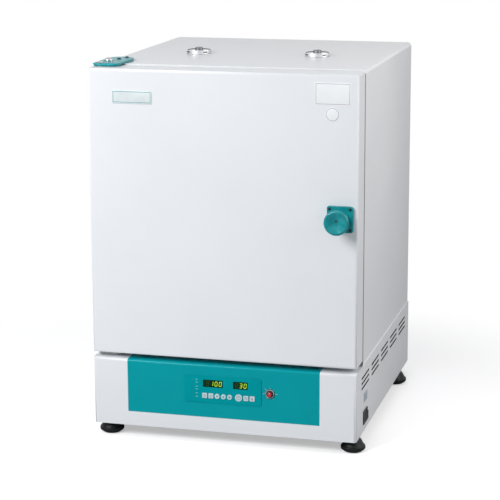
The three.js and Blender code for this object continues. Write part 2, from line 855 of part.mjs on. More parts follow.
// Hinges: a plate on the cabinet's top and one on the base, each with a pivot pin into the door.
const plateX = [pivotX - hingePlateLeft, pivotX - hingePlateLeft + hingePlateWidth];
const topPlateZ = [cabinetTop + seat, cabinetTop + seat + hingePlateThickness];
const bottomPlateZ = [baseTop + seat, baseTop + seat + lowerPlateThickness];
const pinHoleInPlate = pinRadius + seat;
function topHingePlate() {
  const endRadius = hingePlateWidth / 2;
  const outline = roundedOutline(
    plateX,
    [pivotY - hingePlateFront, pivotY + hingePlateReach],
    [hingeCornerRadius, hingeCornerRadius, endRadius, endRadius],
  );
  const hole = rodAlongZ(pinHoleInPlate, pivotX, pivotY, [cabinetTop, topPlateZ[1] + over]);
  return cut(alongZ(outline, topPlateZ, 6), hole);
}
function bottomHingePlate() {
  const outline = roundedOutline(
    plateX,
    [pivotY - hingePlateFront, shelfStripBack],
    [hingeCornerRadius, hingeCornerRadius, 0, 0],
  );
  const hole = rodAlongZ(pinHoleInPlate, pivotX, pivotY, [baseTop, doorBottom]);
  return cut(alongZ(outline, bottomPlateZ, 6), hole);
}
addPiece(cabinet, "hinge_top_plate", topHingePlate(), tealPaint);
addPiece(base, "hinge_bottom_plate", bottomHingePlate(), zincedSteel);

const topPinHead = topPlateZ[1] + seat;
const topPin = turned([
  [0, doorTop - pinDepth],
  [pinRadius - pinBevel, doorTop - pinDepth],
  [pinRadius, doorTop - pinDepth + pinBevel],
  [pinRadius, topPinHead],
  [pinHeadRadius, topPinHead],
  [pinHeadRadius, topPinHead + pinHeadHeight],
  [0, topPinHead + pinHeadHeight],
]);
addPiece(cabinet, "hinge_top_pin", solidOf(topPin), stainless, [pivotX, pivotY, 0]);

// Domed nut that holds the plate to the cabinet.
function domedNut() {
  const base = topPlateZ[1] + seat;
  const rise = capNutHeight - capNutCollar;
  const steps = 5;
  const dome = Array.from({ length: steps + 1 }, (_, i) => {
    const angle = (i / steps) * (Math.PI / 2);
    return [i === steps ? 0 : capNutRadius * Math.cos(angle), base + capNutCollar + rise * Math.sin(angle)];
  });
  return solidOf(turned([[0, base], [capNutRadius, base], ...dome]));
}
addPiece(cabinet, "hinge_top_nut", domedNut(), chrome, [
  pivotX + capNutFromPivot[0],
  pivotY + capNutFromPivot[1],
  0,
]);

const bottomPin = turned([
  [0, bottomPlateZ[0]],
  [pinRadius, bottomPlateZ[0]],
  [pinRadius, bottomPlateZ[1] + seat],
  [thrustCollarRadius, bottomPlateZ[1] + seat],
  [thrustCollarRadius, doorBottom - seat],
  [pinRadius, doorBottom - seat],
  [pinRadius, doorBottom + pinDepth - pinBevel],
  [pinRadius - pinBevel, doorBottom + pinDepth],
  [0, doorBottom + pinDepth],
]);
addPiece(base, "hinge_bottom_pin", solidOf(bottomPin), stainless, [pivotX, pivotY, 0]);

// Door: an outer skin with rounded edges, an insulation slab and an inner panel.
const spindleHole = (range) => rodAlongY(spindleRadius + boreClearance, latchX, latchZ, range);
const pinHoles = (radius) => [
  rodAlongZ(radius, pivotX, pivotY, [doorTop - pinDepth - pinEndGap, doorTop + over]),
  rodAlongZ(radius, pivotX, pivotY, [doorBottom - over, doorBottom + pinDepth + pinEndGap]),
];
// A box whose front face has all its edges rounded: two crossed outlines and the face's own corners.
function softFront(halfWidth, [z0, z1], [y0, y1], radius) {
  const corner = [radius, 0, 0, radius];
  const upright = alongX(roundedOutline([y0, y1], [z0, z1], corner), [-halfWidth, halfWidth]);
  const level = alongZ(roundedOutline([-halfWidth, halfWidth], [y0, y1], [radius, radius, 0, 0]), [z0, z1]);
  const face = alongY(roundedOutline([-halfWidth, halfWidth], [z0, z1], allCorners(radius / 2)), [y0, y1]);
  return upright.intersect(level).intersect(face);
}
const doorInner = doorHalf - sheet;
const innerPanelY = [doorThickness - linerSheet, doorThickness];
function doorSkin() {
  const shell = softFront(doorHalf, [doorBottom, doorTop], [0, doorThickness], doorEdgeRadius);
  const hollow = softFront(
    doorInner,
    [doorBottom + sheet, doorTop - sheet],
    [sheet, doorThickness + over],
    doorEdgeRadius - sheet,
  );
  return cut(shell, hollow, spindleHole([-over, 2 * sheet]), ...pinHoles(pinHoleInPlate));
}
addPiece(door, "door_skin", doorSkin(), whitePaint);

const doorSpaceX = [-doorInner + seat, doorInner - seat];
const doorSpaceZ = [doorBottom + sheet + seat, doorTop - sheet - seat];
const innerPanel = cut(
  alongY(roundedOutline(doorSpaceX, doorSpaceZ, allCorners((doorEdgeRadius - sheet) / 2)), innerPanelY),
  spindleHole([doorThickness - 2 * linerSheet, doorThickness + over]),
);
addPiece(door, "door_inner_panel", innerPanel, stainless);

const doorWool = cut(
  softFront(doorSpaceX[1], doorSpaceZ, [sheet + seat, innerPanelY[0] - seat], doorEdgeRadius - sheet),
  rodAlongY(spindleRadius + woolClearance, latchX, latchZ, [0, doorThickness]),
  ...pinHoles(pinBossRadius),
);
addPiece(door, "door_insulation", doorWool, mineralWool);

// Handle: a square plate, a mushroom knob with its spindle through the door, and the latch cam.
const plateBack = -seat;
const plateFront = plateBack - handlePlateThickness;
const handlePlate = cut(
  alongY(
    roundedOutline(around(0, handlePlateSize), around(0, handlePlateSize), allCorners(handlePlateCorner)),
    [plateFront, plateBack],
  ),
  rodAlongY(spindleRadius + boreClearance, 0, 0, [plateFront - over, 0]),
);
addPiece(door, "handle_plate", handlePlate, tealPlastic, [latchX, 0, latchZ]);

const camFront = frameBack + camBehindFrame;
const camBack = camFront + camThickness;
function handleKnob() {
  const face = -knobReach;
  const discBack = face + knobDiscThickness;
  const footFace = plateFront - seat;
  const profile = [
    [0, face + knobDish],
    [knobRadius - 3 * knobRim, face + knobDish],
    [knobRadius - 2 * knobRim, face],
    [knobRadius - knobRim, face],
    [knobRadius, face + knobRim],
    [knobRadius, discBack - knobRim],
    [knobRadius - knobRim, discBack],
    [knobNeckRadius, discBack + knobRim],
    [knobNeckRadius, footFace - knobFootRise],
    [knobFootRadius, footFace - knobRim],
    [knobFootRadius, footFace],
    [spindleRadius, footFace],
    [spindleRadius, camFront - seat],
    [0, camFront - seat],
  ];
  const body = solidOf(layAlongY(turned(profile, 32)));
  return body.add(block(around(0, camTang), [camFront - over, camBack + seat], around(0, camTang)));
}
addPiece(door, "handle_knob", handleKnob(), tealPlastic, [latchX, 0, latchZ]);

function latchCam() {
  const end = camWidth / 2;
  const outline = roundedOutline(around(0, camWidth), around(0, camLength), allCorners(end));
  const hole = around(0, camTang + 2 * seat);
  return cut(alongY(outline, [camFront, camBack]), block(hole, [camFront - over, camBack + over], hole));
}
addPiece(door, "latch_cam", latchCam(), zincedSteel, [latchX, 0, latchZ]);

// Base housing: rounded top front edge, open below, with ledges for the deck and slots for cooling.
const panelX = [-doorHalf + panelSideLeft, doorHalf - panelSideRight];
const panelBottom = baseBottom + panelRise;
const switchY = switchFromFront;
const switchZ = baseBottom + switchRise;
const inletX = doorHalf - inletFromSide;
const inletZ = baseBottom + inletRise;
function baseForm(halfWidth, [y0, y1], [z0, z1], corner, edge) {
  const plan = alongZ(roundedOutline([-halfWidth, halfWidth], [y0, y1], [corner, corner, 0, 0]), [z0, z1]);
  const side = alongX(roundedOutline([y0, y1], [z0, z1], [0, 0, 0, edge]), [-halfWidth, halfWidth], 6);
  return plan.intersect(side);
}
function sideSlots() {
  const pitch = (baseBack - slotFrontMargin - slotRearMargin - slotLength) / (slotColumns - 1);
  const slots = [];
  for (let row = 0; row < slotRows; row += 1) {
    const z = baseTop - slotTopDrop - row * slotRowPitch;
    for (let column = 0; column < slotColumns; column += 1) {
      const y = slotFrontMargin + column * pitch;
      for (const side of [-1, 1]) {
        const x = around(side * (doorHalf - sheet / 2), 2 * sheet);
        slots.push(block(x, [y, y + slotLength], around(z, slotHeight)));
      }
    }
  }
  return slots;
}
function rearSlots() {
  return Array.from({ length: rearSlotCount }, (_, i) => {
    const x = -doorHalf + rearSlotFromSide + i * rearSlotPitch;
    const z = baseBottom + rearSlotRise;
    return block(around(x, slotHeight), around(baseBack - sheet / 2, 2 * sheet), [z, z + rearSlotHeight]);
  });
}
function baseHousing() {
  const outer = baseForm(doorHalf, [0, baseBack], [baseBottom, baseTop], baseCorner, baseEdgeRadius);
  const inner = baseForm(
    baseInner,
    [sheet, baseBack - sheet],
    [baseBottom - over, baseTop - sheet],
    baseCorner - sheet,
    baseEdgeRadius - sheet,
  );
  const deckWell = block(
    [-baseInner, baseInner],
    [shelfStripBack, baseBack - sheet],
    [deckBottom - ledge, baseTop + over],
  );
  const window = block(
    [panelX[0] - seat, panelX[1] + seat],
    [-over, doorThickness + seat],
    [panelBottom - seat, baseTop + over],
  );
  const ledgeZ = [deckBottom - seat - sheet, deckBottom - seat];
  const inWall = sheet / 2;
  const ledges = [
    block([-baseInner - inWall, -baseInner + ledge], [shelfStripBack, baseBack - inWall], ledgeZ),
    block([baseInner - ledge, baseInner + inWall], [shelfStripBack, baseBack - inWall], ledgeZ),
    block([-baseInner - inWall, baseInner + inWall], [baseBack - sheet - ledge, baseBack - inWall], ledgeZ),
  ];
  const stripY = [panelThickness + seat, panelThickness + seat + sheet];
  const stripZ = [panelBottom, baseTop - baseEdgeRadius - sheet];
  const strips = [
    [panelX[0] - 2 * panelStrip, panelX[0] - seat, panelX[0] + panelStrip],
    [panelX[1] + 2 * panelStrip, panelX[1] + seat, panelX[1] - panelStrip],
  ].map(([outside, edge, inside]) => {
    const limits = (a, b) => [Math.min(a, b), Math.max(a, b)];
    return joined(
      block(limits(outside, inside), stripY, stripZ),
      block(limits(outside, edge), [sheet / 2, stripY[1]], stripZ),
    );
  });
  const switchHole = block(
    around(doorHalf - sheet / 2, 2 * sheet),
    around(switchY, switchLength - 2 * switchLip + 2 * seat),
    around(switchZ, switchHeight - 2 * switchLip + 2 * seat),
  );
  const inletHole = block(
    around(inletX, inletWidth - 2 * inletLip + 2 * seat),
    around(baseBack - sheet / 2, 2 * sheet),
    around(inletZ, inletHeight - 2 * inletLip + 2 * seat),
  );
  const shell = joined(cut(outer, inner, deckWell, window), ...ledges, ...strips);
  return cut(shell, ...sideSlots(), ...rearSlots(), switchHole, inletHole);
}
addPiece(base, "base_housing", baseHousing(), whitePaint);

// Floor plate of the base, with a hole for each foot's stud.
const footPlaces = [
  ["front_left", -doorHalf + footInsetLeft, footInsetFront],
  ["front_right", doorHalf - footInsetRight, footInsetFront],
  ["rear_left", -doorHalf + footInsetLeft, baseBack - footInsetRear],
  ["rear_right", doorHalf - footInsetRight, baseBack - footInsetRear],
];
const floorOutline = roundedOutline(
  [-baseInner + seat, baseInner - seat],
  [sheet + seat, baseBack - sheet - seat],
  [baseCorner, baseCorner, 0, 0],
);
const floorHoles = footPlaces.map(([, x, y]) =>
  rodAlongZ(studRadius + boreClearance, x, y, [baseBottom - over, floorTop + over], 16),
);
addPiece(base, "base_floor", cut(alongZ(floorOutline, [baseBottom, floorTop]), ...floorHoles), zincedSteel);

// Feet: a flared rubber cone on a threaded stud, held by a nut above the floor plate.
function foot() {
  const top = baseBottom - seat;
  const nutBottom = floorTop + seat;
  const profile = [
    [0, 0],
    [footSoleRadius, 0],
    [footRadius - footRimBevel, footSoleBevel],
    [footRadius, footRimBottom],
    [footRadius, footRimTop],
    [footNeckRadius, top],
    [studRadius, top],
    [studRadius, nutBottom],
    [nutRadius, nutBottom],
    [nutRadius, nutBottom + nutHeight],
    [studRadius, nutBottom + nutHeight],
    [studRadius, floorTop + studLength],
    [0, floorTop + studLength],
  ];
  return solidOf(turned(profile, 20));
}
for (const [name, x, y] of footPlaces) {
  addPiece(base, `foot_${name}`, foot(), blackRubber, [x, y, 0]);
}

// Keypad layout: left limits of the eight keys, in a row under the two displays.
const smallKeysLeft = 5;
const smallKeyStep = keySize + keyGap;
const startKeyLeft = keyInsetLeft + smallKeysLeft * smallKeyStep - keyGap + startKeyGap;
const afterStart = startKeyLeft + startKeySize + keyGap;
const lastKeyLeft = afterStart + smallKeyStep;
const keypadWidth = lastKeyLeft + keySize + keyInsetRight;
const keypadX = [-keypadWidth / 2, keypadWidth / 2];
const keypadZ = [panelBottom + keypadRise, panelBottom + keypadRise + keypadHeight];
const keyZ = keypadZ[0] + keyRowRise;
const displayZ = around(keyZ + displayAboveKeys, displayHeight);
const keyList = [
  { name: "key_program", left: keyInsetLeft, size: keySize, round: false },
  { name: "key_mode", left: keyInsetLeft + smallKeyStep, size: keySize, round: false },
  { name: "key_down", left: keyInsetLeft + 2 * smallKeyStep, size: keySize, round: true },
  { name: "key_up", left: keyInsetLeft + 3 * smallKeyStep, size: keySize, round: true },
  { name: "key_set", left: keyInsetLeft + 4 * smallKeyStep, size: keySize, round: true },
  { name: "key_start", left: startKeyLeft, size: startKeySize, round: true },
  { name: "key_timer", left: afterStart, size: keySize, round: false },
  { name: "key_lock", left: lastKeyLeft, size: keySize, round: false },
];
const keyX = (key) => keypadX[0] + key.left + key.size / 2;
const temperatureX = [keypadX[0] + displayInset, keypadX[0] + displayInset + temperatureDisplayWidth];
const timerX = [temperatureX[1] + displayGap, temperatureX[1] + displayGap + timerDisplayWidth];
const limiterX = keypadX[1] + limiterMargin + limiterBodyRadius;
const limiterZ = (keypadZ[0] + keypadZ[1]) / 2;
const keypadBack = -seat;
const keypadFront = keypadBack - keypadThickness;
const keyFlangeFront = panelThickness + seat;
const stemEnd = keyFlangeFront + keyFlange + keyStemLength;
const boardFront = stemEnd + keyTravel + keyRest;

// The face of a key, or its hole, grown by a clearance.
function keyPrism(key, grow, y) {
  const size = key.size + 2 * grow;
  if (key.round) return rodAlongY(size / 2, 0, 0, y, 16);
  return alongY(roundedOutline(around(0, size), around(0, size), allCorners(keyCorner + grow)), y, 2);
}
function controlHoles(y) {
  const keyHoles = keyList.map((key) => keyPrism(key, boreClearance, y).translate([keyX(key), 0, keyZ]));
  const windows = [temperatureX, timerX].map(([a, b]) =>
    block([a - seat, b + seat], y, [displayZ[0] - seat, displayZ[1] + seat]),
  );
  return [...keyHoles, ...windows];
}

// Control panel: flat front, rounded top edge and a top strip under the door, with bosses for the board.
function controlPanel() {
  const outline = (offset) =>
    roundedOutline(
      [offset, doorThickness + offset],
      [panelBottom - offset, baseTop - offset],
      [0, 0, 0, baseEdgeRadius - offset],
    );
  const skin = cut(
    alongX(outline(0), panelX, 6),
    alongX(outline(panelThickness), [panelX[0] - over, panelX[1] + over], 6),
  );
  const bossX = [keypadX[0] + boardMargin + boardBossInset, keypadX[1] - boardMargin - boardBossInset];
  const bossZ = [keypadZ[0] + boardBossInset, keypadZ[1] - boardBossInset];
  const bosses = bossX.flatMap((x) =>
    bossZ.map((z) => rodAlongY(boardBossRadius, x, z, [panelThickness / 2, boardFront - seat], 12)),
  );
  const through = [-over, panelThickness + over];
  return cut(
    joined(skin, ...bosses),
    ...controlHoles(through),
    rodAlongY(limiterNeckRadius + boreClearance, limiterX, limiterZ, through),
  );
}
addPiece(controls, "control_panel", controlPanel(), tealPaint);

const keypad = cut(
  alongY(roundedOutline(keypadX, keypadZ, allCorners(keypadCorner)), [keypadFront, keypadBack]),
  ...controlHoles([keypadFront - over, 0]),
);
addPiece(controls, "keypad_overlay", keypad, tealFilm);

for (const [name, x] of [["temperature", temperatureX], ["timer", timerX]]) {
  addPiece(controls, `display_${name}`, block(x, [keypadFront, boardFront - seat], displayZ), displayLens);
}

// Keys: a face through panel and keypad, a flange behind the panel and a stem towards the board.
function pushKey(key) {
  const half = key.size / 2;
  const ears = key.size + 2 * (boreClearance + keyFlangeEar);
  const flangeY = [keyFlangeFront, keyFlangeFront + keyFlange];
  return joined(
    keyPrism(key, 0, [keypadFront - keyProud, flangeY[0] + keyFlange / 2]),
    block([-half, half], flangeY, around(0, ears)),
    rodAlongY(keyStemRadius, 0, 0, [flangeY[0], stemEnd], 8),
  );
}
for (const key of keyList) {
  addPiece(controls, key.name, pushKey(key), keyPlastic, [keyX(key), 0, keyZ]);
}

const board = block(
  [keypadX[0] + boardMargin, keypadX[1] - boardMargin],
  [boardFront, boardFront + boardThickness],
  [keypadZ[0] + boardMargin / 2, keypadZ[1] - boardMargin / 2],
);
addPiece(controls, "control_board", board, boardGreen);

// Limiter: the thermostat behind the panel with its ring and shaft, and the red dial on the shaft.
const bezelBack = -seat;
const bezelFront = bezelBack - keypadThickness;
const bodyFront = panelThickness + seat;
const limiterProfile = [
  [0, bezelFront - limiterShaftLength],
  [limiterShaftRadius, bezelFront - limiterShaftLength],
  [limiterShaftRadius, bezelFront],
  [limiterBezelRadius, bezelFront],
  [limiterBezelRadius, bezelBack],
  [limiterNeckRadius, bezelBack],
  [limiterNeckRadius, bodyFront],
  [limiterBodyRadius, bodyFront],
  [limiterBodyRadius, bodyFront + limiterBodyDepth],
  [0, bodyFront + limiterBodyDepth],
];
const limiterPlace = [limiterX, 0, limiterZ];
addPiece(
  controls,
  "limiter_thermostat",
  solidOf(layAlongY(turned(limiterProfile, 20))),
  blackPlastic,
  limiterPlace,
);

function limiterDial() {
  const back = bezelFront - seat;
  const front = back - dialHeight;
  const boreRadius = limiterShaftRadius + seat;
  const boreEnd = bezelFront - limiterShaftLength - seat;
  const profile = [
    [boreRadius, back],
    [dialRadius, back],
    [dialRadius, front + dialBevel],
    [dialRadius - dialBevel, front],
    [0, front],
    [0, boreEnd],
    [boreRadius, boreEnd],
    [boreRadius, back],
  ];
  const pointer = block(
    around(0, dialPointerWidth),
    [front - dialPointerHeight, front + dialPointerHeight],
    [0, dialRadius - dialBevel],
  );
  return solidOf(layAlongY(turned(profile, 20))).add(pointer);
}
addPiece(controls, "limiter_dial", limiterDial(), redPlastic, limiterPlace);

// Power switch on the base's right side: a bezel and well, and a rocker on an upright axis in it.
const bezelOuterX = doorHalf + seat + switchBezel;
const wellHalfY = switchLength / 2 - switchLip - switchFrame;
const wellHalfZ = switchHeight / 2 - switchLip - switchFrame / 2;
const rockerPivotX = bezelOuterX - rockerPivotDepth;
function switchBody() {
  const flange = block(
    [doorHalf + seat, bezelOuterX],
    around(switchY, switchLength),
    around(switchZ, switchHeight),
  );
  const body = block(
    [doorHalf - switchDepth, bezelOuterX - switchBezel / 2],
    around(switchY, switchLength - 2 * switchLip),
    around(switchZ, switchHeight - 2 * switchLip),
  );
  const well = block(
    [bezelOuterX - rockerDepth - 2 * rockerClearance - switchWellExtra, bezelOuterX + over],
    around(switchY, 2 * wellHalfY),
    around(switchZ, 2 * wellHalfZ),
  );
  const pinZ = around(switchZ, switchHeight - 3 * switchLip);
  const pivotPin = rodAlongZ(rockerPinRadius, rockerPivotX, switchY, pinZ, 10);
  return joined(cut(joined(flange, body), well), pivotPin);
}
addPiece(base, "switch_body", switchBody(), blackPlastic);

// The rocker is made level and then tilted to the off position about its pivot.
const rockerHalfZ = wellHalfZ - seat;
function rocker() {
  const face = rockerPivotDepth + rockerProud;
  const reach = wellHalfY - rockerClearance;
  const outline = new THREE.Shape();
  const root = rockerPivotDepth - rockerDepth;
  outline.moveTo(root, -reach * rockerTaper);
  outline.lineTo(face - rockerBevel, -reach);
  outline.lineTo(face, -reach + rockerBevel);
  outline.lineTo(face - rockerDip, 0);
  outline.lineTo(face, reach - rockerBevel);
  outline.lineTo(face - rockerBevel, reach);
  outline.lineTo(root, reach * rockerTaper);
  const paddle = alongZ(outline, [-rockerHalfZ, rockerHalfZ]);
  const boreZ = [-rockerHalfZ - over, rockerHalfZ + over];
  const bore = rodAlongZ(rockerPinRadius + seat, 0, 0, boreZ, 10);
  return cut(paddle, bore);
}
const rockerPlace = [rockerPivotX, switchY, switchZ];
const rockerMesh = addPiece(base, "switch_rocker", rocker(), blackPlastic, rockerPlace);
rockerMesh.rotation.z = THREE.MathUtils.degToRad(-rockerTilt);

// Power inlet in the base's rear wall, with an empty socket.
function powerInlet() {
  const flangeY = [baseBack + seat, baseBack + seat + inletFlange];
  const flange = block(around(0, inletWidth), flangeY, around(0, inletHeight));
  const bodyWidth = inletWidth - 2 * inletLip;
  const bodyHeight = inletHeight - 2 * inletLip;
  const bodyY = [baseBack - inletDepth, flangeY[1] - inletFlange / 2];
  const body = block(around(0, bodyWidth), bodyY, around(0, bodyHeight));
  const socket = block(
    around(0, bodyWidth - 2 * inletWall),
    [flangeY[1] - inletSocketDepth, flangeY[1] + over],
    around(0, bodyHeight - 2 * inletWall),
  );
  return cut(flange.add(body), socket);
}
addPiece(base, "power_inlet", powerInlet(), blackPlastic, [inletX, 0, inletZ]);

// Parts that stand on the base's floor.
const onFloor = floorTop + seat;
function transformer() {
  const core = block(around(0, transformerWidth), around(0, transformerDepth / 2), [0, transformerHeight]);
  const coil = block(
    around(0, transformerWidth - 2 * coilInset),
    around(0, transformerDepth),
    [coilInset, transformerHeight - coilInset],
  );
  return core.add(coil);
}
const transformerPlace = [-doorHalf + transformerFromLeft, baseBack - transformerFromBack, onFloor];
addPiece(base, "transformer", transformer(), windingCopper, transformerPlace);

function relay() {
  const body = block(around(0, relayWidth - 2 * relayTab), around(0, relayDepth), [0, relayHeight]);
  return body.add(block(around(0, relayWidth), around(0, relayDepth), [0, relayTabThickness]));
}
const relayPlace = [-doorHalf + relayFromLeft, baseBack - relayFromBack, onFloor];
addPiece(base, "solid_state_relay", relay(), blackPlastic, relayPlace);

function terminalBlock() {
  const body = block(around(0, terminalWidth), around(0, terminalDepth), [0, terminalHeight]);
  const pitch = (terminalWidth - terminalWall) / terminalPoles;
  const wells = Array.from({ length: terminalPoles }, (_, i) => {
    const left = -terminalWidth / 2 + terminalWall + i * pitch;
    const wellZ = [terminalHeight / 2, terminalHeight + over];
    return block([left, left + pitch - terminalWall], [-terminalDepth, 0], wellZ);
  });
  return cut(body, ...wells);
}
const terminalPlace = [doorHalf - terminalFromRight, baseBack - terminalFromBack, onFloor];
addPiece(base, "terminal_block", terminalBlock(), ceramicWhite, terminalPlace);

export default oven;
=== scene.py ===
# Natural convection oven: the looks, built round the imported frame.
# Blender and the frame work in metres. Sizes in the dictionaries are millimetres in the oven's own measure:
# x = 0 at the middle of the door, y = 0 at the door's face, z = 0 at the floor.
import json
import math

import bmesh
import bpy
import numpy as np
from mathutils import Matrix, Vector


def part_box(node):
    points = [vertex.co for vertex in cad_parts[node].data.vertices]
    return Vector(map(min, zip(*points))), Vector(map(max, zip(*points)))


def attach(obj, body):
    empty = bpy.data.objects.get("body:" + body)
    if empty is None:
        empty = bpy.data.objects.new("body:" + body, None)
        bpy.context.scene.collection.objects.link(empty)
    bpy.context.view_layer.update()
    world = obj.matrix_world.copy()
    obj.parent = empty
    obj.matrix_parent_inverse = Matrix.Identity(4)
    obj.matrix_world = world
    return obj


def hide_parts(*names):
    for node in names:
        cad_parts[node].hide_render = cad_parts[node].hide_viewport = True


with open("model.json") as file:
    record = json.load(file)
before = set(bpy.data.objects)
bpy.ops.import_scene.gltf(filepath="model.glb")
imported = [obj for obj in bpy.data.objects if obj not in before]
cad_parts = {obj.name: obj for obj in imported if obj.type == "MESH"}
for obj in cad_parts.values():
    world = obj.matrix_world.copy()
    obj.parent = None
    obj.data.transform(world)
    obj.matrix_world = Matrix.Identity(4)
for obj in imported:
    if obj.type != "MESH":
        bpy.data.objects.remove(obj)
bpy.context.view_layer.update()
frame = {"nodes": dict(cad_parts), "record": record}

lowDoor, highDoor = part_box("door_skin")
ovenOrigin = np.array([(lowDoor[0] + highDoor[0]) / 2, lowDoor[1], 0.0])
mm = 0.001
bodyOf = {node: body for body, nodes in frame["record"]["behaviour"]["bodies"].items() for node in nodes}
slotOf = {part["node"]: part["material_slot"] for part in frame["record"]["subparts"]}
print("frame loaded:", len(frame["nodes"]), "nodes")


# Colour and node helpers
def linear(rgb):  # sRGB 0..255 to linear: c / 12.92 under the knee, ((c + 0.055) / 1.055) ** 2.4 above it
    c = np.array(rgb, float) / 255
    return [*np.where(c <= 0.04045, c / 12.92, ((c + 0.055) / 1.055) ** 2.4).tolist(), 1.0]


def setInputs(tree, node, inputs):  # another node's output is linked, any other value is the input's own
    for name, value in inputs.items():
        if isinstance(value, bpy.types.NodeSocket):
            tree.links.new(value, node.inputs[name])
        else:
            node.inputs[name].default_value = value
    return node


def addNode(tree, kind, inputs, **settings):
    made = tree.nodes.new(kind)
    for name, value in settings.items():
        setattr(made, name, value)
    return setInputs(tree, made, inputs)


def maths(tree, operation, *values, clamp=False):  # one Math node on two or three values
    inputs = dict(enumerate(values))
    return addNode(tree, "ShaderNodeMath", inputs, operation=operation, use_clamp=clamp).outputs[0]


def objectPlace(tree):  # a pattern on Object coordinates stays on its piece
    return addNode(tree, "ShaderNodeTexCoord", {}).outputs["Object"]


def noiseOf(tree, place, scale, detail):
    inputs = {"Vector": place, "Scale": scale, "Detail": detail}
    return addNode(tree, "ShaderNodeTexNoise", inputs).outputs["Fac"]


def newGroup(name, inputs, output):  # inputs are names with their usual values, and there is one output
    group = bpy.data.node_groups.new(name, "ShaderNodeTree")
    for socketName, value in inputs.items():
        kind = "NodeSocketVector" if isinstance(value, tuple) else "NodeSocketFloat"
        group.interface.new_socket(socketName, in_out="INPUT", socket_type=kind).default_value = value
    group.interface.new_socket(output, in_out="OUTPUT", socket_type="NodeSocketFloat")
    given = group.nodes.new("NodeGroupInput").outputs
    return group, given, group.nodes.new("NodeGroupOutput").inputs[output]


# Cloudy patches: (noise - 0.5) * contrast + 0.5, held between 0 and 1.
def mottleGroup():
    group, given, out = newGroup("mottle", {"Scale": 8.0, "Contrast": 1.0}, "Mask")
    noise = noiseOf(group, objectPlace(group), given["Scale"], detail=5.0)
    centred = maths(group, "SUBTRACT", noise, 0.5)
    group.links.new(maths(group, "MULTIPLY_ADD", centred, given["Contrast"], 0.5, clamp=True), out)
    return group


# Sprayed paint: a slow swell times its share, plus a fine ripple, put out as a height.
def peelGroup():
    group, given, out = newGroup("orangePeel", {"Scale": 700.0, "Swell": 0.3, "Swell Scale": 22.0}, "Height")
    place = objectPlace(group)
    fine = noiseOf(group, place, given["Scale"], detail=2.0)
    slow = noiseOf(group, place, given["Swell Scale"], detail=1.0)
    group.links.new(maths(group, "MULTIPLY_ADD", slow, given["Swell"], fine), out)
    return group


# Brushed grain: noise at a place that a Mapping node stretches along one direction.
def grainGroup():
    group, given, out = newGroup("brushedGrain", {"Stretch": (30.0, 900.0, 900.0)}, "Mask")
    mapped = addNode(group, "ShaderNodeMapping", {"Vector": objectPlace(group), "Scale": given["Stretch"]})
    group.links.new(noiseOf(group, mapped.outputs[0], 1.0, detail=3.0), out)
    return group


# Dust: how far a face looks up, times a broken pattern, times the amount.
def dustGroup():
    group, given, out = newGroup("dust", {"Amount": 0.3, "Scale": 60.0}, "Mask")
    normal = addNode(group, "ShaderNodeNewGeometry", {}).outputs["Normal"]
    up = addNode(group, "ShaderNodeSeparateXYZ", {"Vector": normal}).outputs["Z"]
    lying = addNode(group, "ShaderNodeMapRange", {"Value": up, "From Min": 0.2, "From Max": 1.0}).outputs[0]
    patchy = maths(group, "MULTIPLY", lying, noiseOf(group, objectPlace(group), given["Scale"], detail=6.0))
    group.links.new(maths(group, "MULTIPLY", patchy, given["Amount"]), out)
    return group


# Moulded surface: the distance from the nearest cell's middle plus noise, put out as a height.
def mouldGroup():
    group, given, out = newGroup("mouldGrain", {"Scale": 900.0}, "Height")
    place = objectPlace(group)
    cell = {"Vector": place, "Scale": given["Scale"]}
    distance = addNode(group, "ShaderNodeTexVoronoi", cell, feature="SMOOTH_F1").outputs["Distance"]
    group.links.new(maths(group, "ADD", distance, noiseOf(group, place, given["Scale"], detail=3.0)), out)
    return group


groups = {"mottle": mottleGroup(), "peel": peelGroup(), "grain": grainGroup(), "dust": dustGroup(),
          "mould": mouldGroup()}


def useGroup(tree, name, inputs):
    return addNode(tree, "ShaderNodeGroup", inputs, node_tree=groups[name]).outputs[0]


def mixTints(tree, share, under, over):  # under * (1 - share) + over * share; 6, 7 and 2 are colour sockets
    return addNode(tree, "ShaderNodeMix", {"Factor": share, 6: under, 7: over}, data_type="RGBA").outputs[2]


# Finishes
grainTone = {"gain": 0.75, "lift": 0.125}  # how the grain's mask becomes the share of the second tint
dustTint = (150, 148, 142)


# One finish: two tints mixed by patches, or by the grain where a stretch is given, and a dust tint on top.
# Roughness runs between the two given values by the same mask, and the surface's height makes the bump.
def finish(name, tints, rough, bump, scale=700.0, patch=9.0, surface="mould", metal=0.0, contrast=1.6,
           stretch=None, dust=0.0, coat=0.0, coatRough=0.1, specular=0.5, specularTint=(255, 255, 255),
           bumpDistance=0.0002):
    material = bpy.data.materials.new(name)
    material.use_nodes = True
    tree = material.node_tree
    if stretch:
        height = useGroup(tree, "grain", {"Stretch": stretch})
        tone = maths(tree, "MULTIPLY_ADD", height, grainTone["gain"], grainTone["lift"])
    else:
        height = useGroup(tree, surface, {"Scale": scale})
        tone = useGroup(tree, "mottle", {"Scale": patch, "Contrast": contrast})
    colour = mixTints(tree, tone, linear(tints[0]), linear(tints[1]))
    if dust:
        colour = mixTints(tree, useGroup(tree, "dust", {"Amount": dust}), colour, linear(dustTint))
    spread = addNode(tree, "ShaderNodeMapRange", {"Value": tone, "To Min": rough[0], "To Max": rough[1]})
    ripple = addNode(tree, "ShaderNodeBump", {"Strength": bump, "Distance": bumpDistance, "Height": height})
    setInputs(tree, tree.nodes["Principled BSDF"], {
        "Base Color": colour, "Roughness": spread.outputs[0], "Normal": ripple.outputs[0], "Metallic": metal,
        "Specular IOR Level": specular, "Specular Tint": linear(specularTint),
        "Coat Weight": coat, "Coat Roughness": coatRough})
    return material


